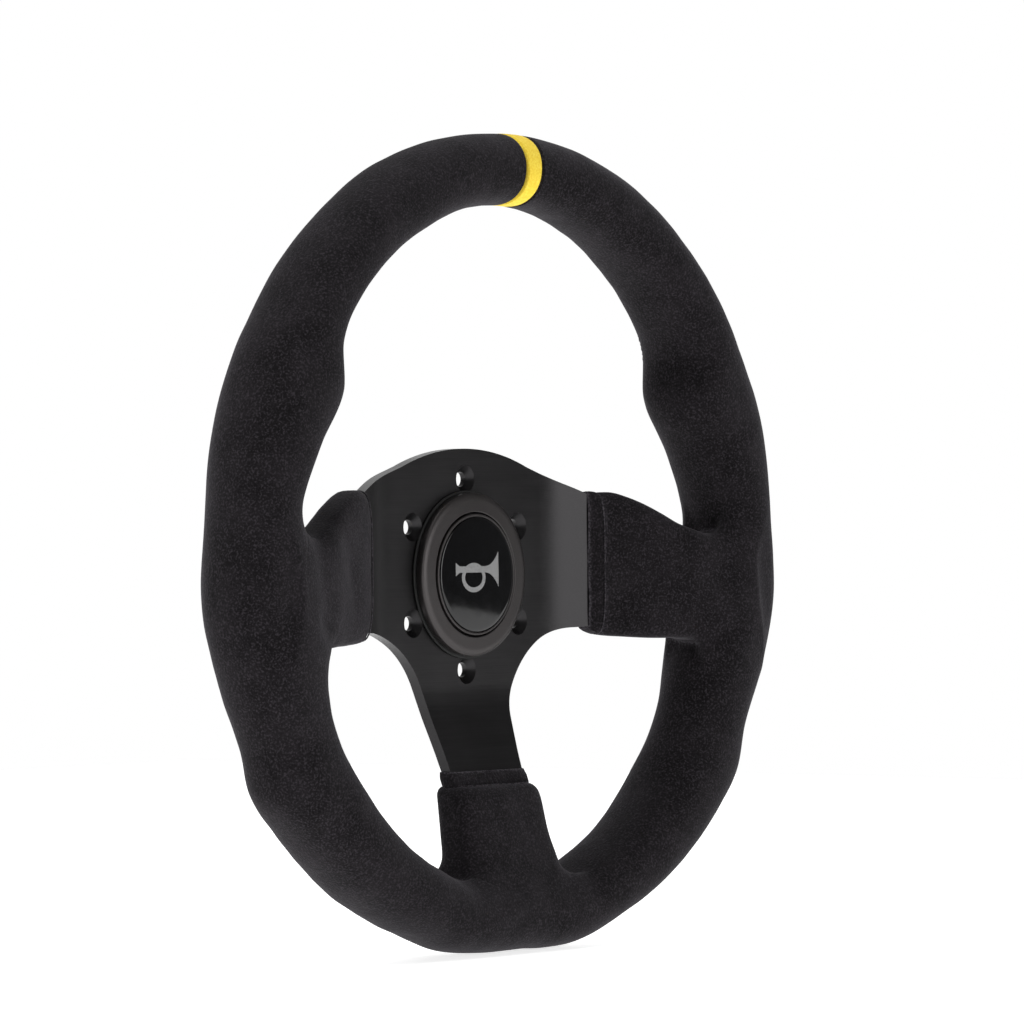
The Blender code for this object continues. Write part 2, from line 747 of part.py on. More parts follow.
def build_cap(finish):
    """Push cap: a dished head, a guide skirt and a centre boss for the contact screw."""
    inner, outer = SKIRT_R
    profile = [
        (0.0, CAP_RECESS_FLOOR),
        (CAP_RECESS_R, CAP_RECESS_FLOOR),
        (CAP_RECESS_R, CAP_TOP),
        (CAP_R - CAP_EASE, CAP_TOP),
        (CAP_R, CAP_TOP - CAP_EASE),
        (CAP_R, CAP_UNDER),
        (outer, CAP_UNDER),
        (outer, SKIRT_END),
        (inner, SKIRT_END),
        (inner, CAP_UNDER),
        (BOSS_R, CAP_UNDER),
        (BOSS_R, SKIRT_END),
        (SCREW_R + GAP, SKIRT_END),
        (SCREW_R + GAP, BOSS_HOLE_TOP),
        (0.0, BOSS_HOLE_TOP),
    ]
    turned("horn_cap", profile, finish)


def build_emblem(finish):
    """Printed disc under the lens."""
    top = CAP_RECESS_FLOOR + GAP + EMBLEM
    profile = [(0.0, top), (EMBLEM_R, top), (EMBLEM_R, top - EMBLEM), (0.0, top - EMBLEM)]
    turned("horn_emblem", profile, finish)


def build_lens(finish):
    """Domed clear lens over the emblem disc."""
    dome = []
    for share in np.linspace(0, 1, LENS_STEPS + 1):
        height = LENS_EDGE + (LENS_CROWN - LENS_EDGE) * (1 - share**2)
        dome.append((LENS_R * share, height))
    turned("horn_lens", dome + [(LENS_R, LENS_BASE), (0.0, LENS_BASE)], finish)


def build_contacts(brass, steel):
    """Moving contact plate and its screw, and the fixed contact ring."""
    top = PLATE_CONTACT_TOP
    bottom = top - PLATE_CONTACT
    hole = SCREW_R + GAP
    turned("contact_plate", ring_profile(hole, PLATE_CONTACT_R, top, bottom), brass, loop=True)
    under = bottom - GAP
    profile = [
        (0.0, SCREW_TOP),
        (SCREW_R, SCREW_TOP),
        (SCREW_R, under),
        (SCREW_HEAD_R, under),
        (SCREW_HEAD_R * 0.8, under - SCREW_HEAD),
        (0.0, under - SCREW_HEAD),
    ]
    turned("contact_screw", profile, steel, segments=12)
    turned("contact_ring", ring_profile(*RING_CONTACT_R, *RING_CONTACT), brass, loop=True)


def build_spring(finish):
    """Compression spring between the contact plate and the base's well."""
    top = PLATE_CONTACT_TOP - PLATE_CONTACT - GAP - SPRING_WIRE_R
    bottom = WELL_FLOOR + GAP + SPRING_WIRE_R
    count = SPRING_TURNS * SPRING_STEPS + 1
    turns = np.linspace(0, SPRING_TURNS * 2 * math.pi, count)
    curve = bpy.data.curves.new("return_spring", "CURVE")
    curve.dimensions = "3D"
    curve.bevel_depth = SPRING_WIRE_R
    curve.bevel_resolution = 1
    curve.use_fill_caps = True
    spline = curve.splines.new("POLY")
    spline.points.add(count - 1)
    for point, turn, height in zip(spline.points, turns, np.linspace(bottom, top, count)):
        point.co = (SPRING_R * math.cos(turn), -height, SPRING_R * math.sin(turn), 1.0)
    spring = bpy.data.objects.new("return_spring", curve)
    PARTS.objects.link(spring)
    curve.materials.append(finish)


def build_base(plastic, brass, steel):
    """Insulating base with its spring well, two blade terminals and three screws."""
    profile = [
        (0.0, WELL_FLOOR),
        (WELL_R, WELL_FLOOR),
        (WELL_R, BASE_TOP),
        (BASE_R, BASE_TOP),
        (BASE_R, BASE_FLANGE[0]),
        (BASE_FLANGE_R, BASE_FLANGE[0]),
        (BASE_FLANGE_R, BASE_FLANGE[1]),
        (BASE_BOSS_R, BASE_FLANGE[1]),
        (BASE_BOSS_R, BASE_END),
        (0.0, BASE_END),
    ]
    base = turned("horn_base", profile, plastic)
    thick, wide = TERMINAL_SIZE
    top, bottom = TERMINAL_HEIGHTS
    for name, side in (("terminal_right", 1), ("terminal_left", -1)):
        x = side * TERMINAL_X
        slot = (thick + 2 * GAP, TERMINAL_CUT, wide + 2 * GAP)
        boolean(base, block(f"cut_{name}", (x, -BASE_FLANGE[0], 0.0), slot))
        block(name, (x, -(top + bottom) / 2, 0.0), (thick, top - bottom, wide), brass)
    head = BASE_FLANGE[1] - GAP
    profile = [
        (0.0, BASE_SCREW_TOP),
        (BASE_SCREW_R, BASE_SCREW_TOP),
        (BASE_SCREW_R, head),
        (BASE_SCREW_HEAD_R, head),
        (BASE_SCREW_HEAD_R * 0.9, head - BASE_SCREW_HEAD),
        (0.0, head - BASE_SCREW_HEAD),
    ]
    for name, angle in BASE_SCREW_ANGLES.items():
        x, z = on_circle(BASE_SCREW_CIRCLE_R, angle)
        boolean(base, cylinder_along_axis(f"cut_base_{name}", x, z, SCREW_R, BASE_SCREW_CUT, 8))
        screw = turned(f"base_screw_{name}", profile, steel, segments=12)
        screw.location = (x, 0.0, z)


# ---------------------------------------------------------------- assembly

def main():
    """Build every piece of the wheel."""
    suede = material("black_suede", (0.026, 0.024, 0.027), 0.95)
    marker = material("yellow_suede", (0.75, 0.58, 0.10), 0.9)
    anodised = material("black_anodised_aluminium", (0.045, 0.044, 0.045), 0.38, 0.8)
    satin = material("black_satin_aluminium", (0.075, 0.070, 0.072), 0.42, 0.6)
    lens = material("gloss_black_lens", (0.006, 0.006, 0.006), 0.06)
    print_silver = material("printed_emblem", (0.35, 0.35, 0.35), 0.35, 0.3)
    rubber = material("black_rubber", (0.012, 0.012, 0.012), 0.8)
    nylon = material("black_nylon", (0.02, 0.02, 0.02), 0.5)
    foam = material("grey_foam", (0.12, 0.12, 0.12), 0.95)
    brass = material("brass", (0.62, 0.46, 0.18), 0.3, 1.0)
    zinc = material("zinc_plated_steel", (0.55, 0.56, 0.58), 0.3, 1.0)
    spring = material("spring_steel", (0.40, 0.40, 0.42), 0.3, 1.0)

    build_spoke_frame(anodised)
    build_hoop(zinc)
    build_rivets(zinc)
    build_grip_foam(foam)
    build_rim_panels(suede, marker)
    build_boots(suede)
    build_hems(suede)
    build_bezel(satin)
    build_gasket(rubber)
    build_retaining_clip(spring)
    build_cap(satin)
    build_emblem(print_silver)
    build_lens(lens)
    build_contacts(brass, zinc)
    build_spring(spring)
    build_base(nylon, brass, zinc)


clear_scene()
PARTS = new_collection(COLLECTION)
CUTTERS = new_collection("cutters")
main()
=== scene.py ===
"""Looks of the flat-bottomed steering wheel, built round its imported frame.

The suede grip, the dished spoke plate and the horn unit are made here as smooth surfaces over
their plain solids, and every piece gets its finish.  +X is the driver's right, +Y runs away from
the driver and +Z is up.  Lengths are in metres and angles in degrees.  A height is a distance
forward of the hub's rear face, towards the driver (-Y).
"""

import json
import logging
import math
from dataclasses import dataclass
from enum import Enum
from typing import Any

import bmesh
import bpy
import numpy as np
from mathutils import Matrix, Vector


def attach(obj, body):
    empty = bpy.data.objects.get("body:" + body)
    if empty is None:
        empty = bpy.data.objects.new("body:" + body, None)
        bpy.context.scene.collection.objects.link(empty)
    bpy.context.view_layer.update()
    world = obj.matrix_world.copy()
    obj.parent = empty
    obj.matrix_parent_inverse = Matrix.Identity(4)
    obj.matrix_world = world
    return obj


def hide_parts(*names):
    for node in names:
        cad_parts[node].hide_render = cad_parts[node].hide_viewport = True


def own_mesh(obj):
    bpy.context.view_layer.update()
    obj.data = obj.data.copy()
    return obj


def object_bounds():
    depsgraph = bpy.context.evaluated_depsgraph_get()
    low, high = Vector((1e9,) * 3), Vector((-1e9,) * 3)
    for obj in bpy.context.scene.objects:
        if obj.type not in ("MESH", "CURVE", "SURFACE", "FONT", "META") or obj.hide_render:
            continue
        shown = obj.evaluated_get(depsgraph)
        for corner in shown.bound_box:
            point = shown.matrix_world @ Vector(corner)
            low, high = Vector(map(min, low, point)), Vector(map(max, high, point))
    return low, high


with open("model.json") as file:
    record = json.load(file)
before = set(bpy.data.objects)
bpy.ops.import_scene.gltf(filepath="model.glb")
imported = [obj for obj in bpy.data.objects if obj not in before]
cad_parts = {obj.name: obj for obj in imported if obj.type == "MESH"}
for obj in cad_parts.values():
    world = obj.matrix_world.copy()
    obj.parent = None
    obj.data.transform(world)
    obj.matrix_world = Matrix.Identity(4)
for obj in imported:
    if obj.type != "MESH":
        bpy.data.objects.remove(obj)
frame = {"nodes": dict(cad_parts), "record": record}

CAD_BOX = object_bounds()
LOG = logging.getLogger("steering_wheel")

WHEEL = "wheel"
HORN_PUSH = "horn_push"
MM = 0.001

# Distance of a holding point from the end of a straight in a turned profile.
HOLD = 0.00012

# Steps round the circle of a turned part.
ROUND_STEPS = 144

# Least norm that a point is divided by, so that the middle of a section is no pole.
LEAST_NORM = 1e-3

# Unit direction towards the driver.
FORWARD = np.array([0.0, -1.0, 0.0])


# ------------------------------------------------------------------ colours and nodes

def linear(hex_colour: str) -> tuple[float, float, float, float]:
    """Turn an sRGB hex colour into linear light.

    Args:
        hex_colour: Six hex digits after a hash sign.

    Returns:
        Red, green, blue and an alpha of one.
    """
    values = [int(hex_colour[i:i + 2], 16) / 255 for i in (1, 3, 5)]
    light = [v / 12.92 if v <= 0.04045 else ((v + 0.055) / 1.055) ** 2.4 for v in values]
    return (*light, 1.0)


def add_node(tree: bpy.types.NodeTree, kind: str, settings: dict[str, Any] | None = None,
             inputs: dict[Any, Any] | None = None) -> bpy.types.Node:
    """Add a node with its settings and its inputs.

    Args:
        tree: The node tree that takes it.
        kind: The node's type name.
        settings: Properties of the node.
        inputs: Values by input name or number.  A socket is linked, anything else is set.

    Returns:
        The new node.
    """
    node = tree.nodes.new(kind)
    for name, value in (settings or {}).items():
        setattr(node, name, value)
    for name, value in (inputs or {}).items():
        if isinstance(value, bpy.types.NodeSocket):
            tree.links.new(value, node.inputs[name])
        else:
            node.inputs[name].default_value = value
    return node


def new_material(name: str) -> tuple[bpy.types.Material, bpy.types.NodeTree]:
    """A material with an empty node tree.

    Args:
        name: The finish's name.

    Returns:
        The material and its tree.
    """
    made = bpy.data.materials.new(name)
    made.use_nodes = True
    made.node_tree.nodes.clear()
    return made, made.node_tree


def finish_surface(tree: bpy.types.NodeTree, inputs: dict[Any, Any]) -> None:
    """Close a material's tree with its shader and output.

    Args:
        tree: The material's tree.
        inputs: The shader's inputs.
    """
    shader = add_node(tree, "ShaderNodeBsdfPrincipled", inputs=inputs)
    add_node(tree, "ShaderNodeOutputMaterial", inputs={"Surface": shader.outputs[0]})


def object_place(tree: bpy.types.NodeTree, stretch: tuple[float, float, float] = (1, 1, 1)) -> Any:
    """Object coordinates in metres, stretched along each axis.

    Args:
        tree: The material's tree.
        stretch: Pattern repeats per metre along X, Y and Z, relative to each other.

    Returns:
        The vector socket.
    """
    place = add_node(tree, "ShaderNodeTexCoord").outputs["Object"]
    return add_node(tree, "ShaderNodeMapping", inputs={"Vector": place, "Scale": stretch}).outputs[0]


def noise(tree: bpy.types.NodeTree, place: Any, size_mm: float, detail: float = 2.0,
          low: float = 0.3, high: float = 0.7) -> Any:
    """Soft noise of a real grain size, spread between 0 and 1.

    Args:
        tree: The material's tree.
        place: The vector socket it reads.
        size_mm: Distance between neighbouring grains.
        detail: Octaves of finer grain.
        low: Noise value that becomes 0.
        high: Noise value that becomes 1.

    Returns:
        The value socket.
    """
    grain = add_node(tree, "ShaderNodeTexNoise",
                     inputs={"Vector": place, "Scale": 1 / (size_mm * MM), "Detail": detail})
    spread = add_node(tree, "ShaderNodeMapRange", {"clamp": True},
                      {"Value": grain.outputs[0], "From Min": low, "From Max": high})
    return spread.outputs[0]


def mix(tree: bpy.types.NodeTree, share: Any, first: Any, second: Any) -> Any:
    """Mix two colours.

    Args:
        tree: The material's tree.
        share: Share of the second colour, a socket or a number.
        first: Colour or socket.
        second: Colour or socket.

    Returns:
        The colour socket.
    """
    node = add_node(tree, "ShaderNodeMix", {"data_type": "RGBA"},
                    {0: share, 6: first, 7: second})
    return node.outputs[2]


def value_math(tree: bpy.types.NodeTree, operation: str, first: Any, second: Any) -> Any:
    """Join two values by one operation.

    Args:
        tree: The material's tree.
        operation: Name of the operation.
        first: Value or socket.
        second: Value or socket.

    Returns:
        The value socket.
    """
    return add_node(tree, "ShaderNodeMath", {"operation": operation}, {0: first, 1: second}).outputs[0]


def bump(tree: bpy.types.NodeTree, height: Any, depth_mm: float, under: Any = None) -> Any:
    """Bump of a real depth.

    Args:
        tree: The material's tree.
        height: Height socket, from 0 to 1.
        depth_mm: Depth that the full height stands for.
        under: Normal socket of a bump under this one.

    Returns:
        The normal socket.
    """
    inputs = {"Height": height, "Distance": depth_mm * MM, "Strength": 1.0}
    if under is not None:
        inputs["Normal"] = under
    return add_node(tree, "ShaderNodeBump", inputs=inputs).outputs[0]


# ------------------------------------------------------------------ finishes

@dataclass(frozen=True)
class Suede:
    """Microfibre suede, brushed to a short nap.

    The nap swallows light face on and glows along every edge by its sheen, and its ridges, lips and folds
    are also painted paler as a painted sheen highlight with some real wear.  Fibre tips catch the light as
    fine specks, and it lies in soft patches where hands and steam have turned it.
    """

    name: str
    deep: str
    nap: str
    tips: str
    wear_and_sheen: str
    sheen: float = 0.18
    sheen_tint: str = "#B8B4BC"
    patch_mm: float = 14.0
    brush_mm: float = 2.4
    fibre_mm: float = 0.75
    patch_share: float = 0.42
    brush_share: float = 0.20
    fibre_share: float = 0.60
    tip_share: float = 0.45
    relief_mm: float = 0.045

    def material(self) -> bpy.types.Material:
        """Build the material, with fibres drawn coarser than real, so that they show.

        Returns:
            The material.
        """
        made, tree = new_material(self.name)
        place = object_place(tree)
        patches = noise(tree, place, self.patch_mm, 3.0, 0.35, 0.65)
        brushed = noise(tree, place, self.brush_mm, 3.0, 0.35, 0.68)
        fibres = noise(tree, place, self.fibre_mm, 3.0, 0.40, 0.62)
        tips = noise(tree, place, self.fibre_mm, 1.0, 0.55, 0.75)
        lay = value_math(tree, "ADD", value_math(tree, "MULTIPLY", patches, self.patch_share),
                         value_math(tree, "MULTIPLY", brushed, self.brush_share))
        lay = value_math(tree, "ADD", lay, value_math(tree, "MULTIPLY", fibres, self.fibre_share))
        colour = mix(tree, lay, linear(self.deep), linear(self.nap))
        colour = mix(tree, value_math(tree, "MULTIPLY", tips, self.tip_share), colour, linear(self.tips))
        # Paler nap from this attribute: real wear in the gathered corners, and a painted sheen highlight
        # along ridges, rolled lips and folded edges.
        wear_and_sheen = add_node(tree, "ShaderNodeAttribute", {"attribute_name": "wear_and_sheen"}).outputs["Fac"]
        ragged = value_math(tree, "MULTIPLY", wear_and_sheen, value_math(tree, "ADD", fibres, 0.25))
        colour = mix(tree, ragged, colour, linear(self.wear_and_sheen))
        normal = bump(tree, fibres, self.relief_mm, bump(tree, brushed, self.relief_mm))
        finish_surface(tree, {
            "Base Color": colour,
            "Roughness": 0.95,
            "Specular IOR Level": 0.15,
            "Sheen Weight": self.sheen,
            "Sheen Roughness": 0.45,
            "Sheen Tint": linear(self.sheen_tint),
            "Normal": normal,
        })
        return made


@dataclass(frozen=True)
class AnodisedAluminium:
    """Black anodised aluminium: a metal under a thin dyed oxide, so dark with broad soft gloss.

    Brushed plate keeps fine lines along its grain.  A turned part keeps none.
    """

    name: str
    colour: str
    light: str
    roughness: float
    metallic: float
    grain_mm: float = 0.35
    grain_length_mm: float = 28.0
    grain_depth_mm: float = 0.004
    cloud_mm: float = 22.0

    def material(self) -> bpy.types.Material:
        """Build the material, with its grain along X.

        Returns:
            The material.
        """
        made, tree = new_material(self.name)
        ratio = self.grain_mm / self.grain_length_mm
        lines = noise(tree, object_place(tree, (ratio, 1.0, 1.0)), self.grain_mm, 2.0, 0.3, 0.7)
        cloud = noise(tree, object_place(tree), self.cloud_mm, 3.0, 0.3, 0.7)
        tone = value_math(tree, "ADD", value_math(tree, "MULTIPLY", lines, 0.6),
                          value_math(tree, "MULTIPLY", cloud, 0.4))
        rough = value_math(tree, "ADD", self.roughness - 0.05, value_math(tree, "MULTIPLY", tone, 0.10))
        finish_surface(tree, {
            "Base Color": mix(tree, tone, linear(self.colour), linear(self.light)),
            "Roughness": rough,
            "Metallic": self.metallic,
            "Normal": bump(tree, lines, self.grain_depth_mm),
        })
        return made


@dataclass(frozen=True)
class GlossAcrylic:
    """Cast acrylic dome over black: hard clear gloss over a bottomless dark."""

    name: str
    colour: str = "#050506"
    hazed: str = "#08080A"
    haze_mm: float = 4.0

    def material(self) -> bpy.types.Material:
        """Build the material, with a trace of polish haze in its roughness.

        Returns:
            The material.
        """
        made, tree = new_material(self.name)
        haze = noise(tree, object_place(tree), self.haze_mm, 2.0)
        finish_surface(tree, {
            "Base Color": mix(tree, haze, linear(self.colour), linear(self.hazed)),
            "Roughness": value_math(tree, "ADD", 0.05, value_math(tree, "MULTIPLY", haze, 0.04)),
            "IOR": 1.49,
        })
        return made


@dataclass(frozen=True)
class ScreenPrint:
    """Silver screen ink: tiny flakes in a binder, an even soft grey."""

    name: str
    colour: str = "#848484"
    flake: str = "#9A9A9A"
    flake_mm: float = 0.5

    def material(self) -> bpy.types.Material:
        """Build the material, with its flakes drawn coarser than real, so that they show.

        Returns:
            The material.
        """
        made, tree = new_material(self.name)
        flakes = noise(tree, object_place(tree), self.flake_mm, 1.0)
        finish_surface(tree, {
            "Base Color": mix(tree, flakes, linear(self.colour), linear(self.flake)),
            "Roughness": 0.42,
            "Metallic": 0.25,
        })
        return made


@dataclass(frozen=True)
class MouldedPolymer:
    """Moulded rubber, nylon or foam: even colour, a faint spark-eroded texture and soft light."""

    name: str
    colour: str
    light: str
    roughness: float
    grain_mm: float
    depth_mm: float
    cloud_mm: float = 9.0

    def material(self) -> bpy.types.Material:
        """Build the material.

        Returns:
            The material.
        """
        made, tree = new_material(self.name)
        place = object_place(tree)
        grain = noise(tree, place, self.grain_mm, 2.0)
        cloud = noise(tree, place, self.cloud_mm, 2.0)
        finish_surface(tree, {
            "Base Color": mix(tree, cloud, linear(self.colour), linear(self.light)),
            "Roughness": self.roughness,
            "Normal": bump(tree, grain, self.depth_mm),
        })
        return made


@dataclass(frozen=True)
class PlainMetal:
    """Pressed brass, zinc-plated steel or drawn wire: bright metal, mottled by handling."""

    name: str
    colour: str
    tarnish: str
    roughness: float
    mottle_mm: float = 2.5

    def material(self) -> bpy.types.Material:
        """Build the material.

        Returns:
            The material.
        """
        made, tree = new_material(self.name)
        mottle = noise(tree, object_place(tree), self.mottle_mm, 4.0)
        finish_surface(tree, {
            "Base Color": mix(tree, mottle, linear(self.colour), linear(self.tarnish)),
            "Roughness": value_math(tree, "ADD", self.roughness, value_math(tree, "MULTIPLY", mottle, 0.15)),
            "Metallic": 1.0,
        })
        return made


class Slot(Enum):
    """The record's material slots."""

    BLACK_SUEDE = "black_suede"
    YELLOW_SUEDE = "yellow_suede"
    PLATE = "anodised_plate"
    BEZEL = "satin_bezel"
    LENS = "gloss_lens"
    PRINT = "emblem_print"
    RUBBER = "rubber"
    NYLON = "nylon"
    FOAM = "foam"
    BRASS = "brass"
    ZINC = "zinc_steel"
    SPRING = "spring_steel"


FINISHES = {
    Slot.BLACK_SUEDE: Suede("black_suede", "#050405", "#211E21", "#403C41", "#625E64"),
    Slot.YELLOW_SUEDE: Suede("yellow_suede", "#F0C838", "#FFE14E", "#FFE972", "#FFF0A8",
                             sheen=0.15, sheen_tint="#FFF7D0", relief_mm=0.015),
    Slot.PLATE: AnodisedAluminium("brushed_anodised_plate", "#2E2D2E", "#363536", 0.36, 0.85),
    Slot.BEZEL: AnodisedAluminium("satin_anodised_bezel", "#403D3D", "#464343", 0.40, 0.75,
                                  grain_mm=0.6, grain_length_mm=0.6, grain_depth_mm=0.003),
    Slot.LENS: GlossAcrylic("gloss_acrylic_dome"),
    Slot.PRINT: ScreenPrint("silver_screen_print"),
    Slot.RUBBER: MouldedPolymer("moulded_rubber", "#141414", "#1B1B1B", 0.75, 0.5, 0.02),
    Slot.NYLON: MouldedPolymer("moulded_nylon", "#1C1C1D", "#262627", 0.5, 0.4, 0.015),
    Slot.FOAM: MouldedPolymer("moulded_foam", "#5A5A5A", "#6A6A6A", 0.95, 0.8, 0.15),
    Slot.BRASS: PlainMetal("pressed_brass", "#D8B870", "#B08A48", 0.25),
    Slot.ZINC: PlainMetal("zinc_plated_steel", "#C4C6C8", "#9C9EA2", 0.28),
    Slot.SPRING: PlainMetal("drawn_spring_steel", "#A8A8AC", "#7C7C80", 0.25),
}


class Finishes:
    """Builds each finish once and hands it out."""

    def __init__(self) -> None:
        """Start with no material built."""
        self.made: dict[Slot, bpy.types.Material] = {}

    def dress(self, piece: bpy.types.Object, slot: Slot) -> None:
        """Put a slot's finish on every face of a piece.

        Args:
            piece: The piece.
            slot: The slot, whose material is built on its first use.
        """
        if slot not in self.made:
            self.made[slot] = FINISHES[slot].material()
        piece.data.materials.clear()
        piece.data.materials.append(self.made[slot])

    def add(self, made: bpy.types.Object, slot: Slot, body: str, *nodes: str) -> None:
        """Dress a piece, let it ride on a body and stand for its nodes.

        Args:
            made: The piece.
            slot: Its slot.
            body: The body that carries it.
            nodes: Solids of the frame that it stands for.
        """
        self.dress(made, slot)
        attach(made, body)
        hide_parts(*nodes)
        LOG.info("%s: %d faces", made.name, len(made.data.polygons))


# ------------------------------------------------------------------ mesh helpers

def mesh_object(name: str, vertices: np.ndarray, faces: list[np.ndarray],
                sharp_angle: float = 40.0) -> bpy.types.Object:
    """Make an object from whole arrays, with its faces pointing out.

    Args:
        name: The piece's name.
        vertices: Points, one row each.
        faces: Arrays of triangles or quads, by vertex number.
        sharp_angle: Edges sharper than this stay crisp.

    Returns:
        The object, linked to the scene.
    """
    corners = np.concatenate([part.reshape(-1) for part in faces])
    counts = np.concatenate([np.full(len(part), part.shape[1]) for part in faces])
    volume = 0.0
    for part in faces:
        for i in range(1, part.shape[1] - 1):
            a, b, c = vertices[part[:, 0]], vertices[part[:, i]], vertices[part[:, i + 1]]
            volume += float((np.cross(a, b) * c).sum())
    mesh = bpy.data.meshes.new(name)
    mesh.vertices.add(len(vertices))
    mesh.vertices.foreach_set("co", vertices.astype(np.float32).ravel())
    mesh.loops.add(len(corners))
    mesh.loops.foreach_set("vertex_index", corners.astype(np.int32))
    mesh.polygons.add(len(counts))
    starts = np.concatenate([[0], np.cumsum(counts)[:-1]])
    mesh.polygons.foreach_set("loop_start", starts.astype(np.int32))
    mesh.update(calc_edges=True)
    if volume < 0:
        mesh.flip_normals()
    mesh.shade_smooth()
    mesh.set_sharp_from_angle(angle=math.radians(sharp_angle))
    mesh.validate()
    made = bpy.data.objects.new(name, mesh)
    bpy.context.scene.collection.objects.link(made)
    return made


def set_wear_and_sheen(made: bpy.types.Object, shares: np.ndarray) -> None:
    """Give a piece the share of each vertex that its suede paints paler: real wear, and a painted sheen
    highlight along edges.

    Args:
        made: The piece.
        shares: Share of wear and painted sheen highlight from 0 to 1, in the order of the vertices.
    """
    wear_and_sheen = made.data.attributes.new("wear_and_sheen", "FLOAT", "POINT")
    wear_and_sheen.data.foreach_set("value", shares.astype(np.float32).ravel())


def circle(steps: int) -> np.ndarray:
    """Angles of even steps round a circle, in radians."""
    return np.radians(np.linspace(0, 360, steps, endpoint=False))


def grid_faces(rows: int, columns: int, wrap_rows: bool, wrap_columns: bool) -> np.ndarray:
    """Quads over a grid of vertices.

    Args:
        rows: Rows of vertices.
        columns: Vertices in a row.
        wrap_rows: Join the last row to the first.
        wrap_columns: Join each row's ends.

    Returns:
        The quads, one row each.
    """
    index = np.arange(rows * columns).reshape(rows, columns)
    if wrap_rows:
        index = np.concatenate([index, index[:1]])
    if wrap_columns:
        index = np.concatenate([index, index[:, :1]], axis=1)
    quads = np.stack([index[:-1, :-1], index[:-1, 1:], index[1:, 1:], index[1:, :-1]], axis=-1)
    return quads.reshape(-1, 4)


def tube_faces(rows: int, columns: int) -> list[np.ndarray]:
    """Faces of a tube with a flat cap at each end.

    Args:
        rows: Rings along the tube.
        columns: Vertices in a ring.

    Returns:
        The wall's quads and the two caps.
    """
    ring = np.arange(columns)[None]
    return [grid_faces(rows, columns, False, True), ring[:, ::-1], ring + (rows - 1) * columns]


def shell_object(name: str, outer: np.ndarray, inner: np.ndarray, wear_and_sheen: np.ndarray) -> bpy.types.Object:
    """A tube with a wall: rings run out along its outer side and back along its inner side.

    Args:
        name: The piece's name.
        outer: Rings of the outer side, as (rings, points, 3).
        inner: Rings of the inner side, of the same shape.
        wear_and_sheen: Share of wear and painted sheen highlight of each outer point, for the finish.

    Returns:
        The object.
    """
    rings = np.concatenate([outer, inner[::-1]])
    quads = grid_faces(rings.shape[0], rings.shape[1], True, True)
    made = mesh_object(name, rings.reshape(-1, 3), [quads])
    shares = np.zeros(rings.shape[:2])
    shares[:len(outer)] = wear_and_sheen
    set_wear_and_sheen(made, shares)
    return made


def turned_object(name: str, profile: list[tuple[float, float]], ring: bool) -> bpy.types.Object:
    """Turn a profile about the steering axis.

    A point of the profile at radius r and height h goes to (r cos t, -h, r sin t) for t round the
    circle.  A ring's profile is a closed loop.  Otherwise it starts and ends on the axis, and its
    two poles are single vertices.

    Args:
        name: The piece's name.
        profile: Radius and height of each point.
        ring: Whether the profile is a closed loop.

    Returns:
        The object.
    """
    section = np.array(profile if ring else profile[1:-1])
    turn, count = circle(ROUND_STEPS), ROUND_STEPS
    radius, height = section[:, :1], section[:, 1:]
    grid = np.stack([radius * np.cos(turn), np.broadcast_to(-height, (len(section), count)),
                     radius * np.sin(turn)], axis=-1)
    vertices = grid.reshape(-1, 3)
    faces = [grid_faces(len(section), count, ring, True)]
    if not ring:
        poles = np.array([[0.0, -profile[0][1], 0.0], [0.0, -profile[-1][1], 0.0]])
        vertices = np.concatenate([vertices, poles])
        around = np.arange(count)
        after = (around + 1) % count
        last = (len(section) - 1) * count
        top = np.stack([after, around, np.full(count, len(vertices) - 2)], axis=1)
        end = np.stack([last + around, last + after, np.full(count, len(vertices) - 1)], axis=1)
        faces += [top, end]
    return mesh_object(name, vertices, faces)


def rounded_profile(corners: list[tuple[float, float]], radii: list[float], steps: int,
                    ring: bool = False) -> list[tuple[float, float]]:
    """Round a profile's corners with quadratic curves.

    Each corner is replaced by the curve from a point short of it on one side to a point past it
    on the other, drawn towards the corner itself.

    Args:
        corners: Radius and height of each corner.
        radii: Distance from each corner at which its rounding starts.
        steps: Points in each rounding, less one.
        ring: Whether the profile is a closed loop.

    Returns:
        The rounded profile.
    """
    points = np.array(corners)
    rounded: list[tuple[float, float]] = []
    for i, reach in enumerate(radii):
        is_end = not ring and i in (0, len(corners) - 1)
        if reach == 0 or is_end:
            rounded.append(tuple(points[i]))
            continue
        here, before, after = points[i], points[i - 1], points[(i + 1) % len(points)]
        start = here + (before - here) * reach / np.linalg.norm(before - here)
        end = here + (after - here) * reach / np.linalg.norm(after - here)
        for t in np.linspace(0, 1, steps):
            rounded.append(tuple((1 - t) ** 2 * start + 2 * t * (1 - t) * here + t**2 * end))
    return held_profile(rounded, ring)


def held_profile(points: list[tuple[float, float]], ring: bool) -> list[tuple[float, float]]:
    """Add a point near each end of every long straight, so that flats shade flat.

    Args:
        points: Radius and height of each point.
        ring: Whether the profile is a closed loop.

    Returns:
        The profile with its holding points.
    """
    held: list[tuple[float, float]] = []
    for i, here in enumerate(points):
        held.append(here)
        if not ring and i == len(points) - 1:
            break
        start, end = np.array(here), np.array(points[(i + 1) % len(points)])
        length = np.linalg.norm(end - start)
        if length > 4 * HOLD:
            held.append(tuple(start + (end - start) * HOLD / length))
            held.append(tuple(end - (end - start) * HOLD / length))
    return held


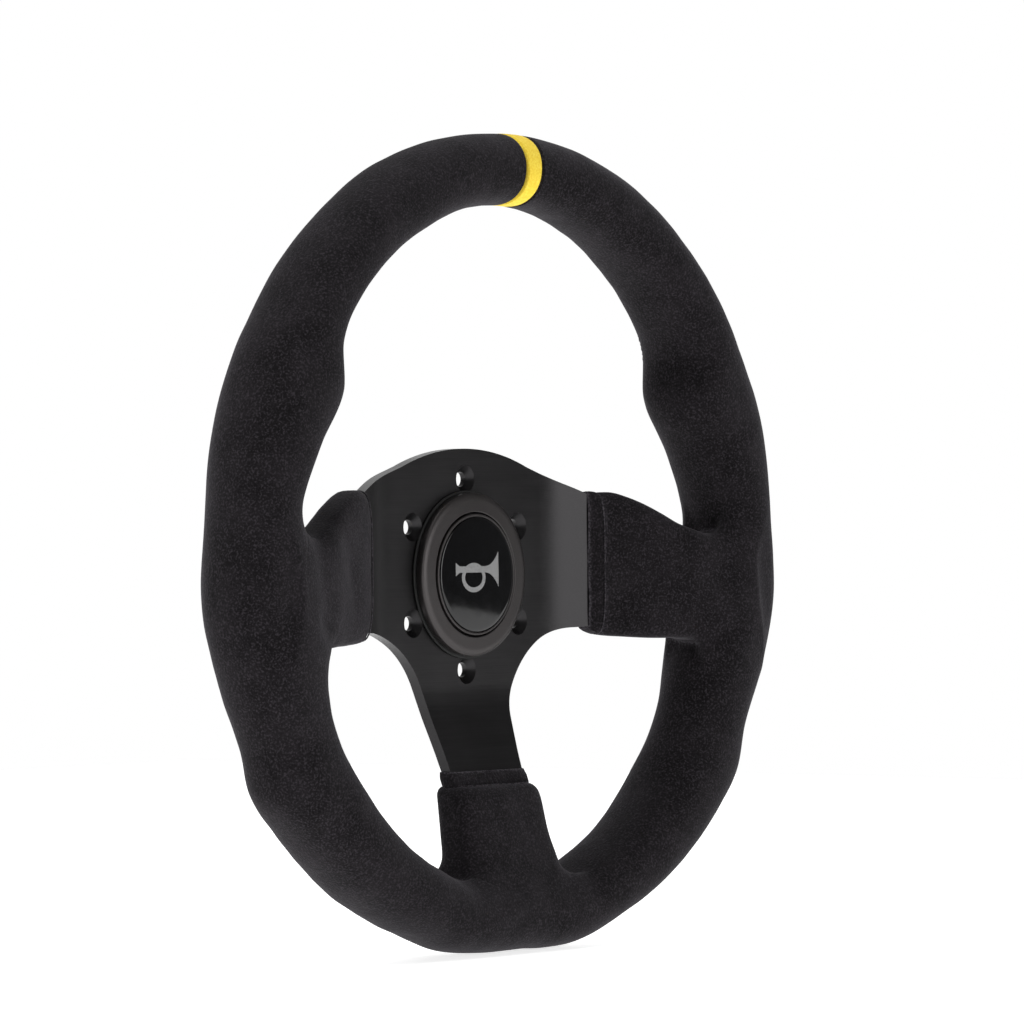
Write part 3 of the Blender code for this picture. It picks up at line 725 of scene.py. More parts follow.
def hermite(knots: np.ndarray, values: np.ndarray, at: np.ndarray) -> np.ndarray:
    """Smooth curve through values at knots: cubics whose slope at a knot joins its neighbours.

    Args:
        knots: Rising places.
        values: Value at each knot.
        at: Places to read.

    Returns:
        The curve's value at each place.
    """
    slopes = np.empty_like(values)
    slopes[1:-1] = (values[2:] - values[:-2]) / (knots[2:] - knots[:-2])
    slopes[0] = (values[1] - values[0]) / (knots[1] - knots[0])
    slopes[-1] = (values[-1] - values[-2]) / (knots[-1] - knots[-2])
    at = np.clip(at, knots[0], knots[-1])
    index = np.clip(np.searchsorted(knots, at, side="right") - 1, 0, len(knots) - 2)
    span = knots[index + 1] - knots[index]
    t = (at - knots[index]) / span
    rise = values[index] * (2 * t**3 - 3 * t**2 + 1) + values[index + 1] * (3 * t**2 - 2 * t**3)
    return rise + span * (slopes[index] * (t**3 - 2 * t**2 + t) + slopes[index + 1] * (t**3 - t**2))


def smooth_step(value: np.ndarray, low: float, high: float) -> np.ndarray:
    """Rise from 0 at low to 1 at high, level at both ends."""
    t = np.clip((value - low) / (high - low), 0, 1)
    return t * t * (3 - 2 * t)


def bell(away: np.ndarray, width: float) -> np.ndarray:
    """Bell curve: 1 at no distance away, and 1/e at its width."""
    return np.exp(-((away / width) ** 2))


def superellipse(across: Any, width: Any, along: Any, depth: Any, power: Any) -> np.ndarray:
    """Norm of a point: the power-th root of |across / width| and |along / depth|, each to the power.

    It is 1 on the superellipse, so the surface on the line to a point is at 1 / norm of it.

    Args:
        across: The point's place across the section.
        width: Half width of the section.
        along: The point's place along the section's depth.
        depth: Half depth of the section.
        power: Squareness, 2 for an ellipse and more for a squarer one.

    Returns:
        The norm.
    """
    return (np.abs(across / width) ** power + np.abs(along / depth) ** power) ** (1 / power)


# ------------------------------------------------------------------ forms of the wheel

@dataclass(frozen=True)
class Dish:
    """How the spokes rise forward from the hub to the rim."""

    plate: float = 0.0045
    depth: float = 0.0212
    slope: float = math.tan(math.radians(20))
    side_bend: float = 0.049
    tail_bend: float = 0.047
    bend_half: float = 0.0065

    def rise(self, distance: np.ndarray, bend: float) -> np.ndarray:
        """Forward rise of a spoke, straight ramps joined by short parabolas.

        Args:
            distance: Distance out from the wheel's centre.
            bend: Distance of the first bend.

        Returns:
            The rise at each distance.
        """
        half = self.bend_half

        def ramp(past: np.ndarray) -> np.ndarray:
            """Zero before the bend and a straight line after it."""
            rounded = (past + half) ** 2 / (4 * half)
            return np.where(past < -half, 0.0, np.where(past < half, rounded, past))

        run = self.depth / self.slope
        return self.slope * (ramp(distance - bend) - ramp(distance - bend - run))


DISH = Dish()


@dataclass(frozen=True)
class RimForm:
    """The rim's surface: a superellipse section carried round the wheel.

    Each station gives an angle from the driver's right, the outer and inner radius there and the
    section's half depth.  The left half mirrors the right.
    """

    height: float = 0.0213
    squareness: float = 2.2
    stations: tuple[tuple[float, float, float, float], ...] = (
        (90, 0.1610, 0.1347, 0.0153),
        (66, 0.1609, 0.1334, 0.0165),
        (46, 0.1586, 0.1318, 0.0180),
        (38, 0.1571, 0.1286, 0.0188),
        (32, 0.1586, 0.1175, 0.0191),
        (22, 0.1568, 0.1205, 0.0190),
        (8, 0.1535, 0.1248, 0.0172),
        (-3, 0.1553, 0.1225, 0.0165),
        (-15, 0.1508, 0.1140, 0.0179),
        (-24, 0.1490, 0.1150, 0.0165),
        (-31, 0.1523, 0.1150, 0.0168),
        (-39, 0.1480, 0.1157, 0.0184),
        (-52, 0.1439, 0.1153, 0.0188),
        (-66, 0.1406, 0.1144, 0.0184),
        (-76, 0.1402, 0.1150, 0.0176),
        (-90, 0.1370, 0.1155, 0.0165),
    )

    def section(self, angles: np.ndarray) -> tuple[np.ndarray, np.ndarray, np.ndarray]:
        """Form of the section: smooth curves through the stations, folded over for the left half.

        Args:
            angles: Places round the wheel, in degrees.

        Returns:
            Middle radius, half width and half depth at each place.
        """
        folded = 90 - np.abs((angles + 90) % 360 - 180)
        knots = np.array([row[0] for row in self.stations], float)[::-1]
        values = [np.array([row[i] for row in self.stations])[::-1] for i in (1, 2, 3)]
        knots = np.concatenate([[-180 - knots[1]], knots, [180 - knots[-2]]])
        padded = [np.concatenate([[v[1]], v, [v[-2]]]) for v in values]
        outer, inner, depth = (hermite(knots, v, folded) for v in padded)
        return (outer + inner) / 2, (outer - inner) / 2, depth

    def distance(self, points: np.ndarray) -> np.ndarray:
        """Distance outside the rim, along the line from the middle of the section.

        Args:
            points: Points in the wheel's frame.

        Returns:
            The distance of each, below zero inside.
        """
        radius = np.hypot(points[..., 0], points[..., 2])
        angles = np.degrees(np.arctan2(points[..., 2], points[..., 0]))
        middle, width, depth = self.section(angles)
        across = radius - middle
        along = -points[..., 1] - self.height
        norm = superellipse(across, width, along, depth, self.squareness)
        return np.hypot(across, along) * (1 - 1 / np.maximum(norm, LEAST_NORM))

    def rays(self, angles: np.ndarray, turns: np.ndarray) -> tuple[np.ndarray, np.ndarray, np.ndarray]:
        """Middle of each section, directions round it and distances to the plain surface.

        Args:
            angles: Places round the wheel, in degrees.
            turns: Directions in the section, in radians: 0 points out of the wheel and a quarter
                turn points to the driver.  Angles and turns spread over one grid.

        Returns:
            Centres, unit directions and distances over the grid.
        """
        middle, width, depth = self.section(angles)
        place, cosine, sine = np.radians(angles), np.cos(turns), np.sin(turns)
        out = np.stack([np.cos(place), np.zeros_like(place), np.sin(place)], axis=-1)
        centre = middle[..., None] * out + self.height * FORWARD
        direction = cosine[..., None] * out + sine[..., None] * FORWARD
        norm = superellipse(cosine, width, sine, depth, self.squareness)
        return np.broadcast_to(centre, direction.shape), direction, 1 / norm


class Spoke(Enum):
    """The three spokes."""

    RIGHT = "right"
    LEFT = "left"
    BOTTOM = "bottom"


@dataclass(frozen=True)
class BootForm:
    """A boot's surface: a squarish section carried along a spoke.

    Each station gives a distance along the spoke, the section's two edges across it and its half
    thickness.  The open end is rolled in over a short distance, and the section may drop back
    from the plate towards the rim's middle.
    """

    spoke: Spoke
    stations: tuple[tuple[float, float, float, float], ...]
    end_roll: float
    sunk: float = 0.011
    squareness: float = 3.8
    setback: float = 0.0
    setback_run: float = 0.024

    def bend(self) -> float:
        """Distance of the spoke's first bend."""
        return DISH.tail_bend if self.spoke is Spoke.BOTTOM else DISH.side_bend

    def to_spoke(self, points: np.ndarray) -> tuple[np.ndarray, np.ndarray, np.ndarray]:
        """Turn points of the wheel into places on the spoke.

        Args:
            points: Points in the wheel's frame.

        Returns:
            Distance along the spoke, place across it and height.
        """
        x, y, z = points[..., 0], points[..., 1], points[..., 2]
        if self.spoke is Spoke.BOTTOM:
            return -z, x, -y
        return (x if self.spoke is Spoke.RIGHT else -x), z, -y

    def to_wheel(self, along: np.ndarray, across: np.ndarray, height: np.ndarray) -> np.ndarray:
        """Turn places on the spoke into points of the wheel.

        Args:
            along: Distance along the spoke.
            across: Place across it.
            height: Height over the hub's rear face.

        Returns:
            The points.
        """
        if self.spoke is Spoke.BOTTOM:
            return np.stack([across, -height, -along], axis=-1)
        side = 1 if self.spoke is Spoke.RIGHT else -1
        return np.stack([side * along, -height, across], axis=-1)

    def section(self, along: np.ndarray) -> tuple[np.ndarray, np.ndarray, np.ndarray, np.ndarray]:
        """Form of the section: smooth curves through the stations, on the dished spoke's middle.

        Args:
            along: Distances along the spoke.

        Returns:
            Middle and half width across, middle height and half thickness.
        """
        table = np.array(self.stations)
        upper, lower, half = (hermite(table[:, 0], table[:, i], along) for i in (1, 2, 3))
        height = DISH.plate / 2 + DISH.rise(along, self.bend())
        first = self.stations[0][0]
        height = height - self.setback * smooth_step(along, first, first + self.setback_run)
        return (upper + lower) / 2, (upper - lower) / 2, height, half

    def distance(self, points: np.ndarray) -> np.ndarray:
        """Distance outside the boot, along the line from the middle of its section.

        Args:
            points: Points in the wheel's frame.

        Returns:
            The distance of each, below zero inside.
        """
        along, across, height = self.to_spoke(points)
        middle, width, centre, half = self.section(along)
        a, h = across - middle, height - centre
        norm = superellipse(a, width, h, half, self.squareness)
        beside = np.hypot(a, h) * (1 - 1 / np.maximum(norm, LEAST_NORM))
        past_ends = np.maximum(self.stations[0][0] - along, along - self.stations[-1][0] + self.sunk)
        return np.maximum(beside, past_ends)

    def rays(self, along: np.ndarray, turns: np.ndarray) -> tuple[np.ndarray, np.ndarray, np.ndarray]:
        """Middle of each section, directions round it and distances to the plain surface.

        Args:
            along: Distances along the spoke, as a column.
            turns: Directions in the section, in radians: 0 points across the spoke and a quarter
                turn points to the driver.

        Returns:
            Centres, unit directions and distances over the grid.
        """
        middle, width, centre, half = self.section(along)
        cosine, sine = np.cos(turns), np.sin(turns)
        norm = superellipse(cosine, width, sine, half, self.squareness)
        zero = np.zeros(norm.shape)
        start = self.to_wheel(along + zero, middle + zero, centre + zero)
        direction = self.to_wheel(zero, cosine + zero, sine + zero)
        return start, direction, 1 / norm


SIDE_STATIONS = (
    (0.0693, 0.0300, -0.0231, 0.0057),
    (0.0770, 0.0297, -0.0241, 0.0066),
    (0.0900, 0.0248, -0.0246, 0.0078),
    (0.1020, 0.0184, -0.0250, 0.0092),
    (0.1130, 0.0150, -0.0264, 0.0110),
    (0.1240, 0.0145, -0.0280, 0.0125),
    (0.1380, 0.0145, -0.0280, 0.0110),
)
TAIL_STATIONS = (
    (0.0768, 0.0233, -0.0233, 0.0084),
    (0.0820, 0.0240, -0.0240, 0.0090),
    (0.0940, 0.0246, -0.0246, 0.0097),
    (0.1060, 0.0266, -0.0266, 0.0108),
    (0.1140, 0.0298, -0.0298, 0.0122),
    (0.1250, 0.0310, -0.0310, 0.0122),
)
LEFT_STATIONS = (
    (0.0676, 0.0308, -0.0234, 0.0080),
    (0.0770, 0.0303, -0.0243, 0.0088),
    (0.0900, 0.0254, -0.0248, 0.0092),
    (0.1020, 0.0190, -0.0252, 0.0100),
    *SIDE_STATIONS[4:],
)
BOOT_FORMS = (
    BootForm(Spoke.RIGHT, SIDE_STATIONS, 0.0012),
    BootForm(Spoke.LEFT, LEFT_STATIONS, 0.0030),
    BootForm(Spoke.BOTTOM, TAIL_STATIONS, 0.0036, setback=0.0030),
)


@dataclass(frozen=True)
class Crease:
    """A soft groove pressed into the suede along a straight line."""

    start: tuple[float, float, float]
    end: tuple[float, float, float]
    width: float
    depth: float

    def press(self, points: np.ndarray) -> np.ndarray:
        """Depth of the groove: a bell curve of the distance from the line.

        Args:
            points: Points in the wheel's frame.

        Returns:
            The depth at each.
        """
        a, b = np.array(self.start), np.array(self.end)
        line = b - a
        share = np.clip(((points - a) @ line) / (line @ line), 0, 1)
        away = np.linalg.norm(points - a - share[..., None] * line, axis=-1)
        return self.depth * bell(away, self.width)


@dataclass(frozen=True)
class GripForm:
    """The suede's whole surface: the rim and three boots run into each other.

    Two distances join by a rounded least value, with a wide rounding on the front and back and a
    tight one in the corners between a boot's edge and the rim.
    """

    rim: RimForm = RimForm()
    boots: tuple[BootForm, ...] = BOOT_FORMS
    corner_round: float = 0.004
    face_round: float = 0.016
    face_start: float = 0.004
    face_end: float = 0.011
    dive_slope: float = 0.3
    dive_most: float = 0.003
    rise_most: float = 0.009
    settle_steps: int = 14
    settle_share: float = 0.8
    wave: float = 0.00009
    waves: tuple[tuple[float, float], ...] = ((0.046, 1.0), (0.027, 0.7), (0.012, 0.28))
    wave_seed: int = 11
    creases: tuple[Crease, ...] = (
        Crease((-0.094, -0.029, 0.016), (-0.086, -0.024, -0.012), 0.0050, 0.0007),
        Crease((-0.100, -0.030, 0.020), (-0.116, -0.040, 0.009), 0.0040, 0.0008),
        Crease((-0.104, -0.030, -0.024), (-0.118, -0.038, -0.016), 0.0035, 0.0007),
        Crease((0.104, -0.030, 0.021), (0.121, -0.040, 0.016), 0.0028, 0.0007),
        Crease((0.106, -0.030, -0.027), (0.121, -0.038, -0.022), 0.0030, 0.0008),
        Crease((0.026, -0.033, -0.108), (0.016, -0.040, -0.113), 0.0028, 0.0006),
        Crease((-0.018, -0.010, -0.082), (-0.020, -0.018, -0.092), 0.0030, 0.0005),
    )

    def ripple(self, points: np.ndarray) -> np.ndarray:
        """Gentle unevenness of hand-stretched suede: three sines of each length, from a fixed seed.

        Args:
            points: Points in the wheel's frame.

        Returns:
            How far the suede stands up at each.
        """
        draw = np.random.default_rng(self.wave_seed)
        total = np.zeros(points.shape[:-1])
        for length, share in self.waves:
            for _ in range(3):
                heading = draw.normal(size=3)
                heading *= 2 * math.pi / (length * np.linalg.norm(heading))
                total += self.wave * share * np.sin(points @ heading + draw.uniform(0, 2 * math.pi))
        return total

    def parts(self, points: np.ndarray) -> tuple[np.ndarray, np.ndarray, np.ndarray]:
        """Where points lie beside the rim and the boots.

        Args:
            points: Points in the wheel's frame.

        Returns:
            Distance outside the rim, distance outside the nearest boot and distance from the
            rim's middle plane.
        """
        boots = np.min([boot.distance(points) for boot in self.boots], axis=0)
        return self.rim.distance(points), boots, np.abs(-points[..., 1] - self.rim.height)

    def excess(self, points: np.ndarray, is_boot: bool) -> np.ndarray:
        """How far each point lies outside the surface that a piece should follow.

        The rim and the boot join by their least distance less near^2 * size / 4, with near the
        share of the rounding's size that is left.  Past the line where the other piece takes
        over, the surface dives under it.

        Args:
            points: Points in the wheel's frame.
            is_boot: Whether the piece is a boot.

        Returns:
            The distance of each, below zero inside.
        """
        rim, boot, forward = self.parts(points)
        faced = smooth_step(forward, self.face_start, self.face_end)
        size = self.corner_round + (self.face_round - self.corner_round) * faced
        near = np.clip(size - np.abs(rim - boot), 0, None) / size
        joined = np.minimum(rim, boot) - near**2 * size / 4
        own, other = (boot, rim) if is_boot else (rim, boot)
        dive = np.clip(self.dive_slope * (own - other), 0, self.dive_most)
        pressed = sum(crease.press(points) for crease in self.creases)
        return joined + dive + pressed - self.ripple(points)

    def settle(self, centre: np.ndarray, direction: np.ndarray, plain: np.ndarray,
               is_boot: bool) -> np.ndarray:
        """Move points along their rays until they lie on the surface.

        Args:
            centre: Where each ray starts.
            direction: Unit direction of each ray.
            plain: Distance to the plain surface.
            is_boot: Whether the piece is a boot.

        Returns:
            Distance along each ray.
        """
        reach = plain.copy()
        for _ in range(self.settle_steps):
            over = self.excess(centre + direction * reach[..., None], is_boot)
            reach = np.clip(reach - self.settle_share * over, plain - self.dive_most, plain + self.rise_most)
        return reach


# ------------------------------------------------------------------ suede grip

@dataclass
class SuedeGrip:
    """Suede panels round the rim, the yellow centre band, three boots and their hems."""

    finishes: Finishes
    form: GripForm = GripForm()
    wall: float = 0.0012
    step_angle: float = 0.40
    section_points: int = 112
    boot_points: int = 128
    core_points: int = 48
    core_gap: float = 0.0004
    marker_half_angle: float = 1.6
    marker_angle: float = 88.8
    split_angle: float = -4.0
    butt_gap_angle: float = 0.003
    band_gap_angle: float = 0.12
    edge_round: float = 0.0009
    seam_turn: float = 258.0
    seam_width: float = 0.0011
    seam_depth: float = 0.0007
    # Share of paler nap: real wear in the gathered corners, and a painted sheen highlight on the ridge
    # beads.
    wear_and_sheen_share: float = 0.35
    rubbed_width: float = 0.0007
    rubbed_face: tuple[float, float] = (0.006, 0.013)
    rubbed_reach: tuple[float, float] = (0.002, 0.004)
    # Painted sheen highlight, partly real wear, along each boot's rolled lip.
    lip_wear_and_sheen: float = 0.15
    lip_width: float = 0.0010
    side_hem: tuple[float, float] = (0.0648, 0.0702)
    tail_hem: tuple[float, float] = (0.0716, 0.0786)
    hem_wall: float = 0.0009
    hem_roll: float = 0.0007
    hem_ragged: float = 0.00012
    # Painted sheen highlight, partly real wear, along each hem's fold.
    fold_wear_and_sheen: float = 0.45
    fold_width: float = 0.0005
    ridge_radius: float = 0.00034
    ridge_sunk: float = 0.00025
    tail_ridge_sunk: float = 0.0001
    stitch_pitch: float = 1.55
    stitch_span: float = 0.0021
    stitch_slant: float = 0.42
    thread_radius: float = 0.00033

    def panel(self, name: str, start: float, end: float, rounded: tuple[bool, bool],
              slot: Slot, raised: float = 0.0) -> None:
        """One panel of the rim: rays from the section's middle, settled on the grip's surface.

        Args:
            name: The piece's name.
            start: Angle of its first edge.
            end: Angle of its last edge.
            rounded: Whether each edge is turned down.
            slot: The finish.
            raised: How far it stands over the grip's surface.
        """
        count = max(12, round((end - start) / self.step_angle)) + 1
        angles = np.linspace(start, end, count)
        turns = np.linspace(0, 360, self.section_points, endpoint=False)[None, :]
        centre, direction, plain = self.form.rim.rays(angles[:, None], np.radians(turns))
        reach = self.form.settle(centre, direction, plain, False) + raised
        away = np.radians(np.abs((turns - self.seam_turn + 180) % 360 - 180)) * plain
        reach -= self.seam_depth * bell(away, self.seam_width)
        arc = np.radians(angles)[:, None] * self.form.rim.section(angles)[0][:, None]
        for is_rounded, edge in zip(rounded, (arc[0], arc[-1])):
            if is_rounded:
                share = np.clip(1 - np.abs(arc - edge) / self.edge_round, 0, 1)
                reach = reach - self.edge_round * (1 - np.sqrt(1 - share**2))
        outer = centre + direction * reach[..., None]
        inner = centre + direction * (reach - self.wall)[..., None]
        self.take(shell_object(name, outer, inner, self.rubbed(outer)), slot, name)

    def build_core(self) -> None:
        """Moulded foam under the suede: a ring in the rim and a tongue in each boot."""
        gap = self.wall + self.core_gap
        angles = np.arange(0, 360, 1.5)
        turns = circle(self.core_points)
        centre, direction, plain = self.form.rim.rays(angles[:, None], turns)
        reach = self.form.settle(centre, direction, plain, False) - gap
        ring = (centre + direction * reach[..., None]).reshape(-1, 3)
        quads = grid_faces(len(angles), len(turns), True, True)
        self.take(mesh_object("foam_core", ring, [quads], 60), Slot.FOAM, "grip_foam")
        for boot in self.form.boots:
            along = np.linspace(boot.stations[0][0] + self.wall, boot.stations[-1][0], 24)
            centre, direction, plain = boot.rays(along[:, None], turns)
            reach = self.form.settle(centre, direction, plain, True) - gap
            tongue = (centre + direction * reach[..., None]).reshape(-1, 3)
            faces = tube_faces(len(along), len(turns))
            self.take(mesh_object(f"foam_{boot.spoke.value}", tongue, faces, 60), Slot.FOAM)

    def rubbed(self, points: np.ndarray) -> np.ndarray:
        """Paler nap where the suede is gathered into the corners between boots and rim.

        Args:
            points: Points of the suede's outer side.

        Returns:
            The worn share of each.
        """
        rim, boot, forward = self.form.parts(points)
        corner = bell(rim - boot, self.rubbed_width) * (1 - smooth_step(forward, *self.rubbed_face))
        near = 1 - smooth_step(np.minimum(rim, boot), *self.rubbed_reach)
        return self.wear_and_sheen_share * corner * near

    def take(self, made: bpy.types.Object, slot: Slot, *nodes: str) -> None:
        """Add a padded piece, full and tight, that rides on the wheel.

        Args:
            made: The piece.
            slot: Its slot.
            nodes: Solids of the frame that it stands for.
        """
        self.finishes.add(made, slot, WHEEL, *nodes)

    def build_rim(self) -> None:
        """The four black panels and the yellow band at the top."""
        split, gap = self.split_angle, self.butt_gap_angle
        start, end = (self.marker_angle + side * self.marker_half_angle for side in (-1, 1))
        band_gap = self.band_gap_angle
        self.panel("suede_upper_right", split + gap, start - band_gap, (False, True), Slot.BLACK_SUEDE)
        self.panel("suede_lower_right", -90 + gap, split - gap, (False, False), Slot.BLACK_SUEDE)
        self.panel("suede_upper_left", end + band_gap, 180 - split - gap, (True, False), Slot.BLACK_SUEDE)
        self.panel("suede_lower_left", 180 - split + gap, 270 - gap, (False, False), Slot.BLACK_SUEDE)
        self.panel("marker_band", start, end, (True, True), Slot.YELLOW_SUEDE, 0.0001)

    def build_boots(self) -> None:
        """Boots over the spokes, rolled in at their open end and sunk into the rim at the other."""
        turns = circle(self.boot_points)
        for boot in self.form.boots:
            first, last = boot.stations[0][0], boot.stations[-1][0]
            along = np.concatenate([
                first + boot.end_roll * np.linspace(0, 1, 6, endpoint=False) ** 1.5,
                np.linspace(first + boot.end_roll, last, 64),
            ])
            centre, direction, plain = boot.rays(along[:, None], turns)
            reach = self.form.settle(centre, direction, plain, True)
            share = np.clip(1 - (along - first) / boot.end_roll, 0, 1)[:, None]
            reach -= boot.end_roll * (1 - np.sqrt(1 - share**2))
            outer = centre + direction * reach[..., None]
            inner = centre + direction * (reach - self.wall)[..., None]
            # Painted sheen highlight, partly real wear: each boot's rolled lip is painted paler along its
            # edge.
            lip = self.lip_wear_and_sheen * bell(along - first, self.lip_width)[:, None]
            wear_and_sheen = np.clip(self.rubbed(outer) + lip, 0, 1)
            name = f"suede_boot_{boot.spoke.value}"
            self.take(shell_object(name, outer, inner, wear_and_sheen), Slot.BLACK_SUEDE, name)

    def build_hems(self) -> None:
        """Folded hems that close the boots on the bare plate.

        A hem's section runs from the plate's own oblong to the boot's end section, and its free
        edge is rolled in to the plate with a ragged fold, painted paler as a painted sheen highlight with
        some real wear.
        """
        turns = np.linspace(0, 360, self.boot_points, endpoint=False)
        turn = np.radians(turns)[None, :]
        ragged = self.hem_ragged * np.sin(turns * 0.61) * np.sin(turns * 0.23 + 1.0)
        roll = self.hem_roll
        for boot in self.form.boots:
            is_tail = boot.spoke is Spoke.BOTTOM
            low, high = self.tail_hem if is_tail else self.side_hem
            along = np.concatenate([low + roll * np.linspace(0, 1, 6, endpoint=False) ** 1.5,
                                    np.linspace(low + roll, high, 14)])
            share = (along - low) / (high - low)
            tops, bottoms, halves, powers = (np.interp(share, (0, 0.35, 0.7, 1), row)[:, None]
                                             for row in self.hem_section(is_tail))
            norm = superellipse(np.cos(turn), (tops - bottoms) / 2, np.sin(turn), halves, powers)
            fold = np.clip(1 - (along - low) / roll, 0, 1)[:, None]
            reach = 1 / norm - roll * (1 - np.sqrt(1 - fold**2)) + ragged * (1 + 2 * fold)
            height = DISH.plate / 2 + DISH.rise(along, boot.bend())[:, None]
            middle = (tops + bottoms) / 2

            def ring(distance: np.ndarray) -> np.ndarray:
                """Points at a distance from the section's middle.

                Args:
                    distance: Distance of each point, as (rings, points).

                Returns:
                    The points.
                """
                ones = np.ones_like(distance)
                return boot.to_wheel(along[:, None] * ones, middle + distance * np.cos(turn),
                                     height + distance * np.sin(turn))

            # Painted sheen highlight, partly real wear: the fold along the hem's free edge is painted paler.
            wear_and_sheen = self.fold_wear_and_sheen * bell(along - low, self.fold_width)[:, None] + np.zeros(reach.shape)
            name = f"hem_{boot.spoke.value}"
            made = shell_object(name, ring(reach), ring(reach - self.hem_wall), wear_and_sheen)
            self.take(made, Slot.BLACK_SUEDE, name)

    @staticmethod
    def hem_section(is_tail: bool) -> tuple[tuple, tuple, tuple, tuple]:
        """Form of a hem from its free edge to the boot.

        Args:
            is_tail: Whether the hem is the bottom spoke's.

        Returns:
            Upper edge, lower edge, half thickness and squareness, each at four places.
        """
        if is_tail:
            edges = (0.0220, 0.0219, 0.0217, 0.0212)
            return edges, tuple(-e for e in edges), (0.0032, 0.0039, 0.0043, 0.0044), (9, 8, 7, 5)
        return ((0.0303, 0.0304, 0.0302, 0.0297), (-0.0209, -0.0221, -0.0229, -0.0230),
                (0.0031, 0.0042, 0.0051, 0.0053), (9, 6, 4.8, 3.9))

    def build_ridges(self) -> None:
        """A turned-up bead of suede where each hem meets its boot: a circle carried round it, painted paler
        as a painted sheen highlight with some real wear.
        """
        turns, around, radius = circle(160), circle(10), self.ridge_radius
        for boot in self.form.boots:
            centre, direction, plain = boot.rays(np.array([[boot.stations[0][0]]]), turns)
            is_tail = boot.spoke is Spoke.BOTTOM
            sink = boot.end_roll + self.tail_ridge_sunk if is_tail else self.ridge_sunk
            reach = plain[0][:, None] - sink + radius * np.cos(around)[None, :]
            path = centre[0][:, None, :] + direction[0][:, None, :] * reach[..., None]
            axis = boot.to_wheel(np.array(1.0), np.array(0.0), np.array(0.0))
            rings = path + axis * (radius * np.sin(around))[None, :, None]
            quads = grid_faces(len(turns), len(around), True, True)
            made = mesh_object(f"hem_ridge_{boot.spoke.value}", rings.reshape(-1, 3), [quads], 80)
            # The whole bead is painted paler: a painted sheen highlight along the ridge, partly real wear.
            set_wear_and_sheen(made, np.full(rings.shape[:2], self.wear_and_sheen_share))
            self.finishes.dress(made, Slot.BLACK_SUEDE)
            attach(made, WHEEL)
            LOG.info("%s: %d faces", made.name, len(made.data.polygons))

    def build_stitches(self) -> None:
        """Crossed stitches over the seam on the rim's inner rear side.

        Each stitch is a short arched thread: a tube of six sides whose middle line leaves the
        surface, rises by half a thread and comes back.
        """
        blocks = {"right": ((-84.0, -13.0), (12.0, 85.0)), "left": ((95.0, 168.0), (193.0, 264.0))}
        share = np.linspace(-1, 1, 7)[None, :]
        lift = self.thread_radius * (0.7 - 1.5 * share**4)
        for side, spans in blocks.items():
            angles = np.concatenate([np.arange(start, end, self.stitch_pitch) for start, end in spans])
            _, width, depth = self.form.rim.section(angles)
            turn = np.radians(self.seam_turn) + share * self.stitch_span / ((width + depth) / 2)[:, None]
            paths = []
            for slant in (-self.stitch_slant, self.stitch_slant):
                place = angles[:, None] + slant * share * self.stitch_pitch
                centre, direction, plain = self.form.rim.rays(place, turn)
                reach = self.form.settle(centre, direction, plain, False) + lift
                paths.append(centre + direction * reach[..., None])
            self.thread_piece(f"stitching_{side}", np.concatenate(paths))

    def thread_piece(self, name: str, lines: np.ndarray) -> None:
        """Closed thread tubes along many short lines, tapered at their ends, as one piece.

        Args:
            name: The piece's name.
            lines: Points of the lines, as (lines, points, 3).
        """
        count, steps, _ = lines.shape
        along = np.gradient(lines, axis=1)
        along /= np.linalg.norm(along, axis=-1, keepdims=True)
        side = np.cross(along, lines - np.array([0.0, -self.form.rim.height, 0.0]))
        side /= np.linalg.norm(side, axis=-1, keepdims=True)
        up = np.cross(side, along)
        sides = 6
        turn = circle(sides)[:, None]
        taper = self.thread_radius * np.array([0.45, 0.9, 1, 1, 1, 0.9, 0.45])[None, :, None, None]
        ring = side[:, :, None, :] * np.cos(turn) + up[:, :, None, :] * np.sin(turn)
        tube = lines[:, :, None, :] + ring * taper
        offset = (np.arange(count) * steps * sides)[:, None, None]
        faces = [(part[None] + offset).reshape(-1, part.shape[1]) for part in tube_faces(steps, sides)]
        made = mesh_object(name, tube.reshape(-1, 3), faces, 60)
        set_wear_and_sheen(made, np.zeros(tube.shape[:3]))
        self.finishes.dress(made, Slot.BLACK_SUEDE)
        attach(made, WHEEL)
        LOG.info("%s: %d stitches", name, count)

    def build(self) -> None:
        """Build every piece of the grip."""
        self.build_core()
        self.build_rim()
        self.build_boots()
        self.build_hems()
        self.build_ridges()
        self.build_stitches()


# ------------------------------------------------------------------ spoke plate

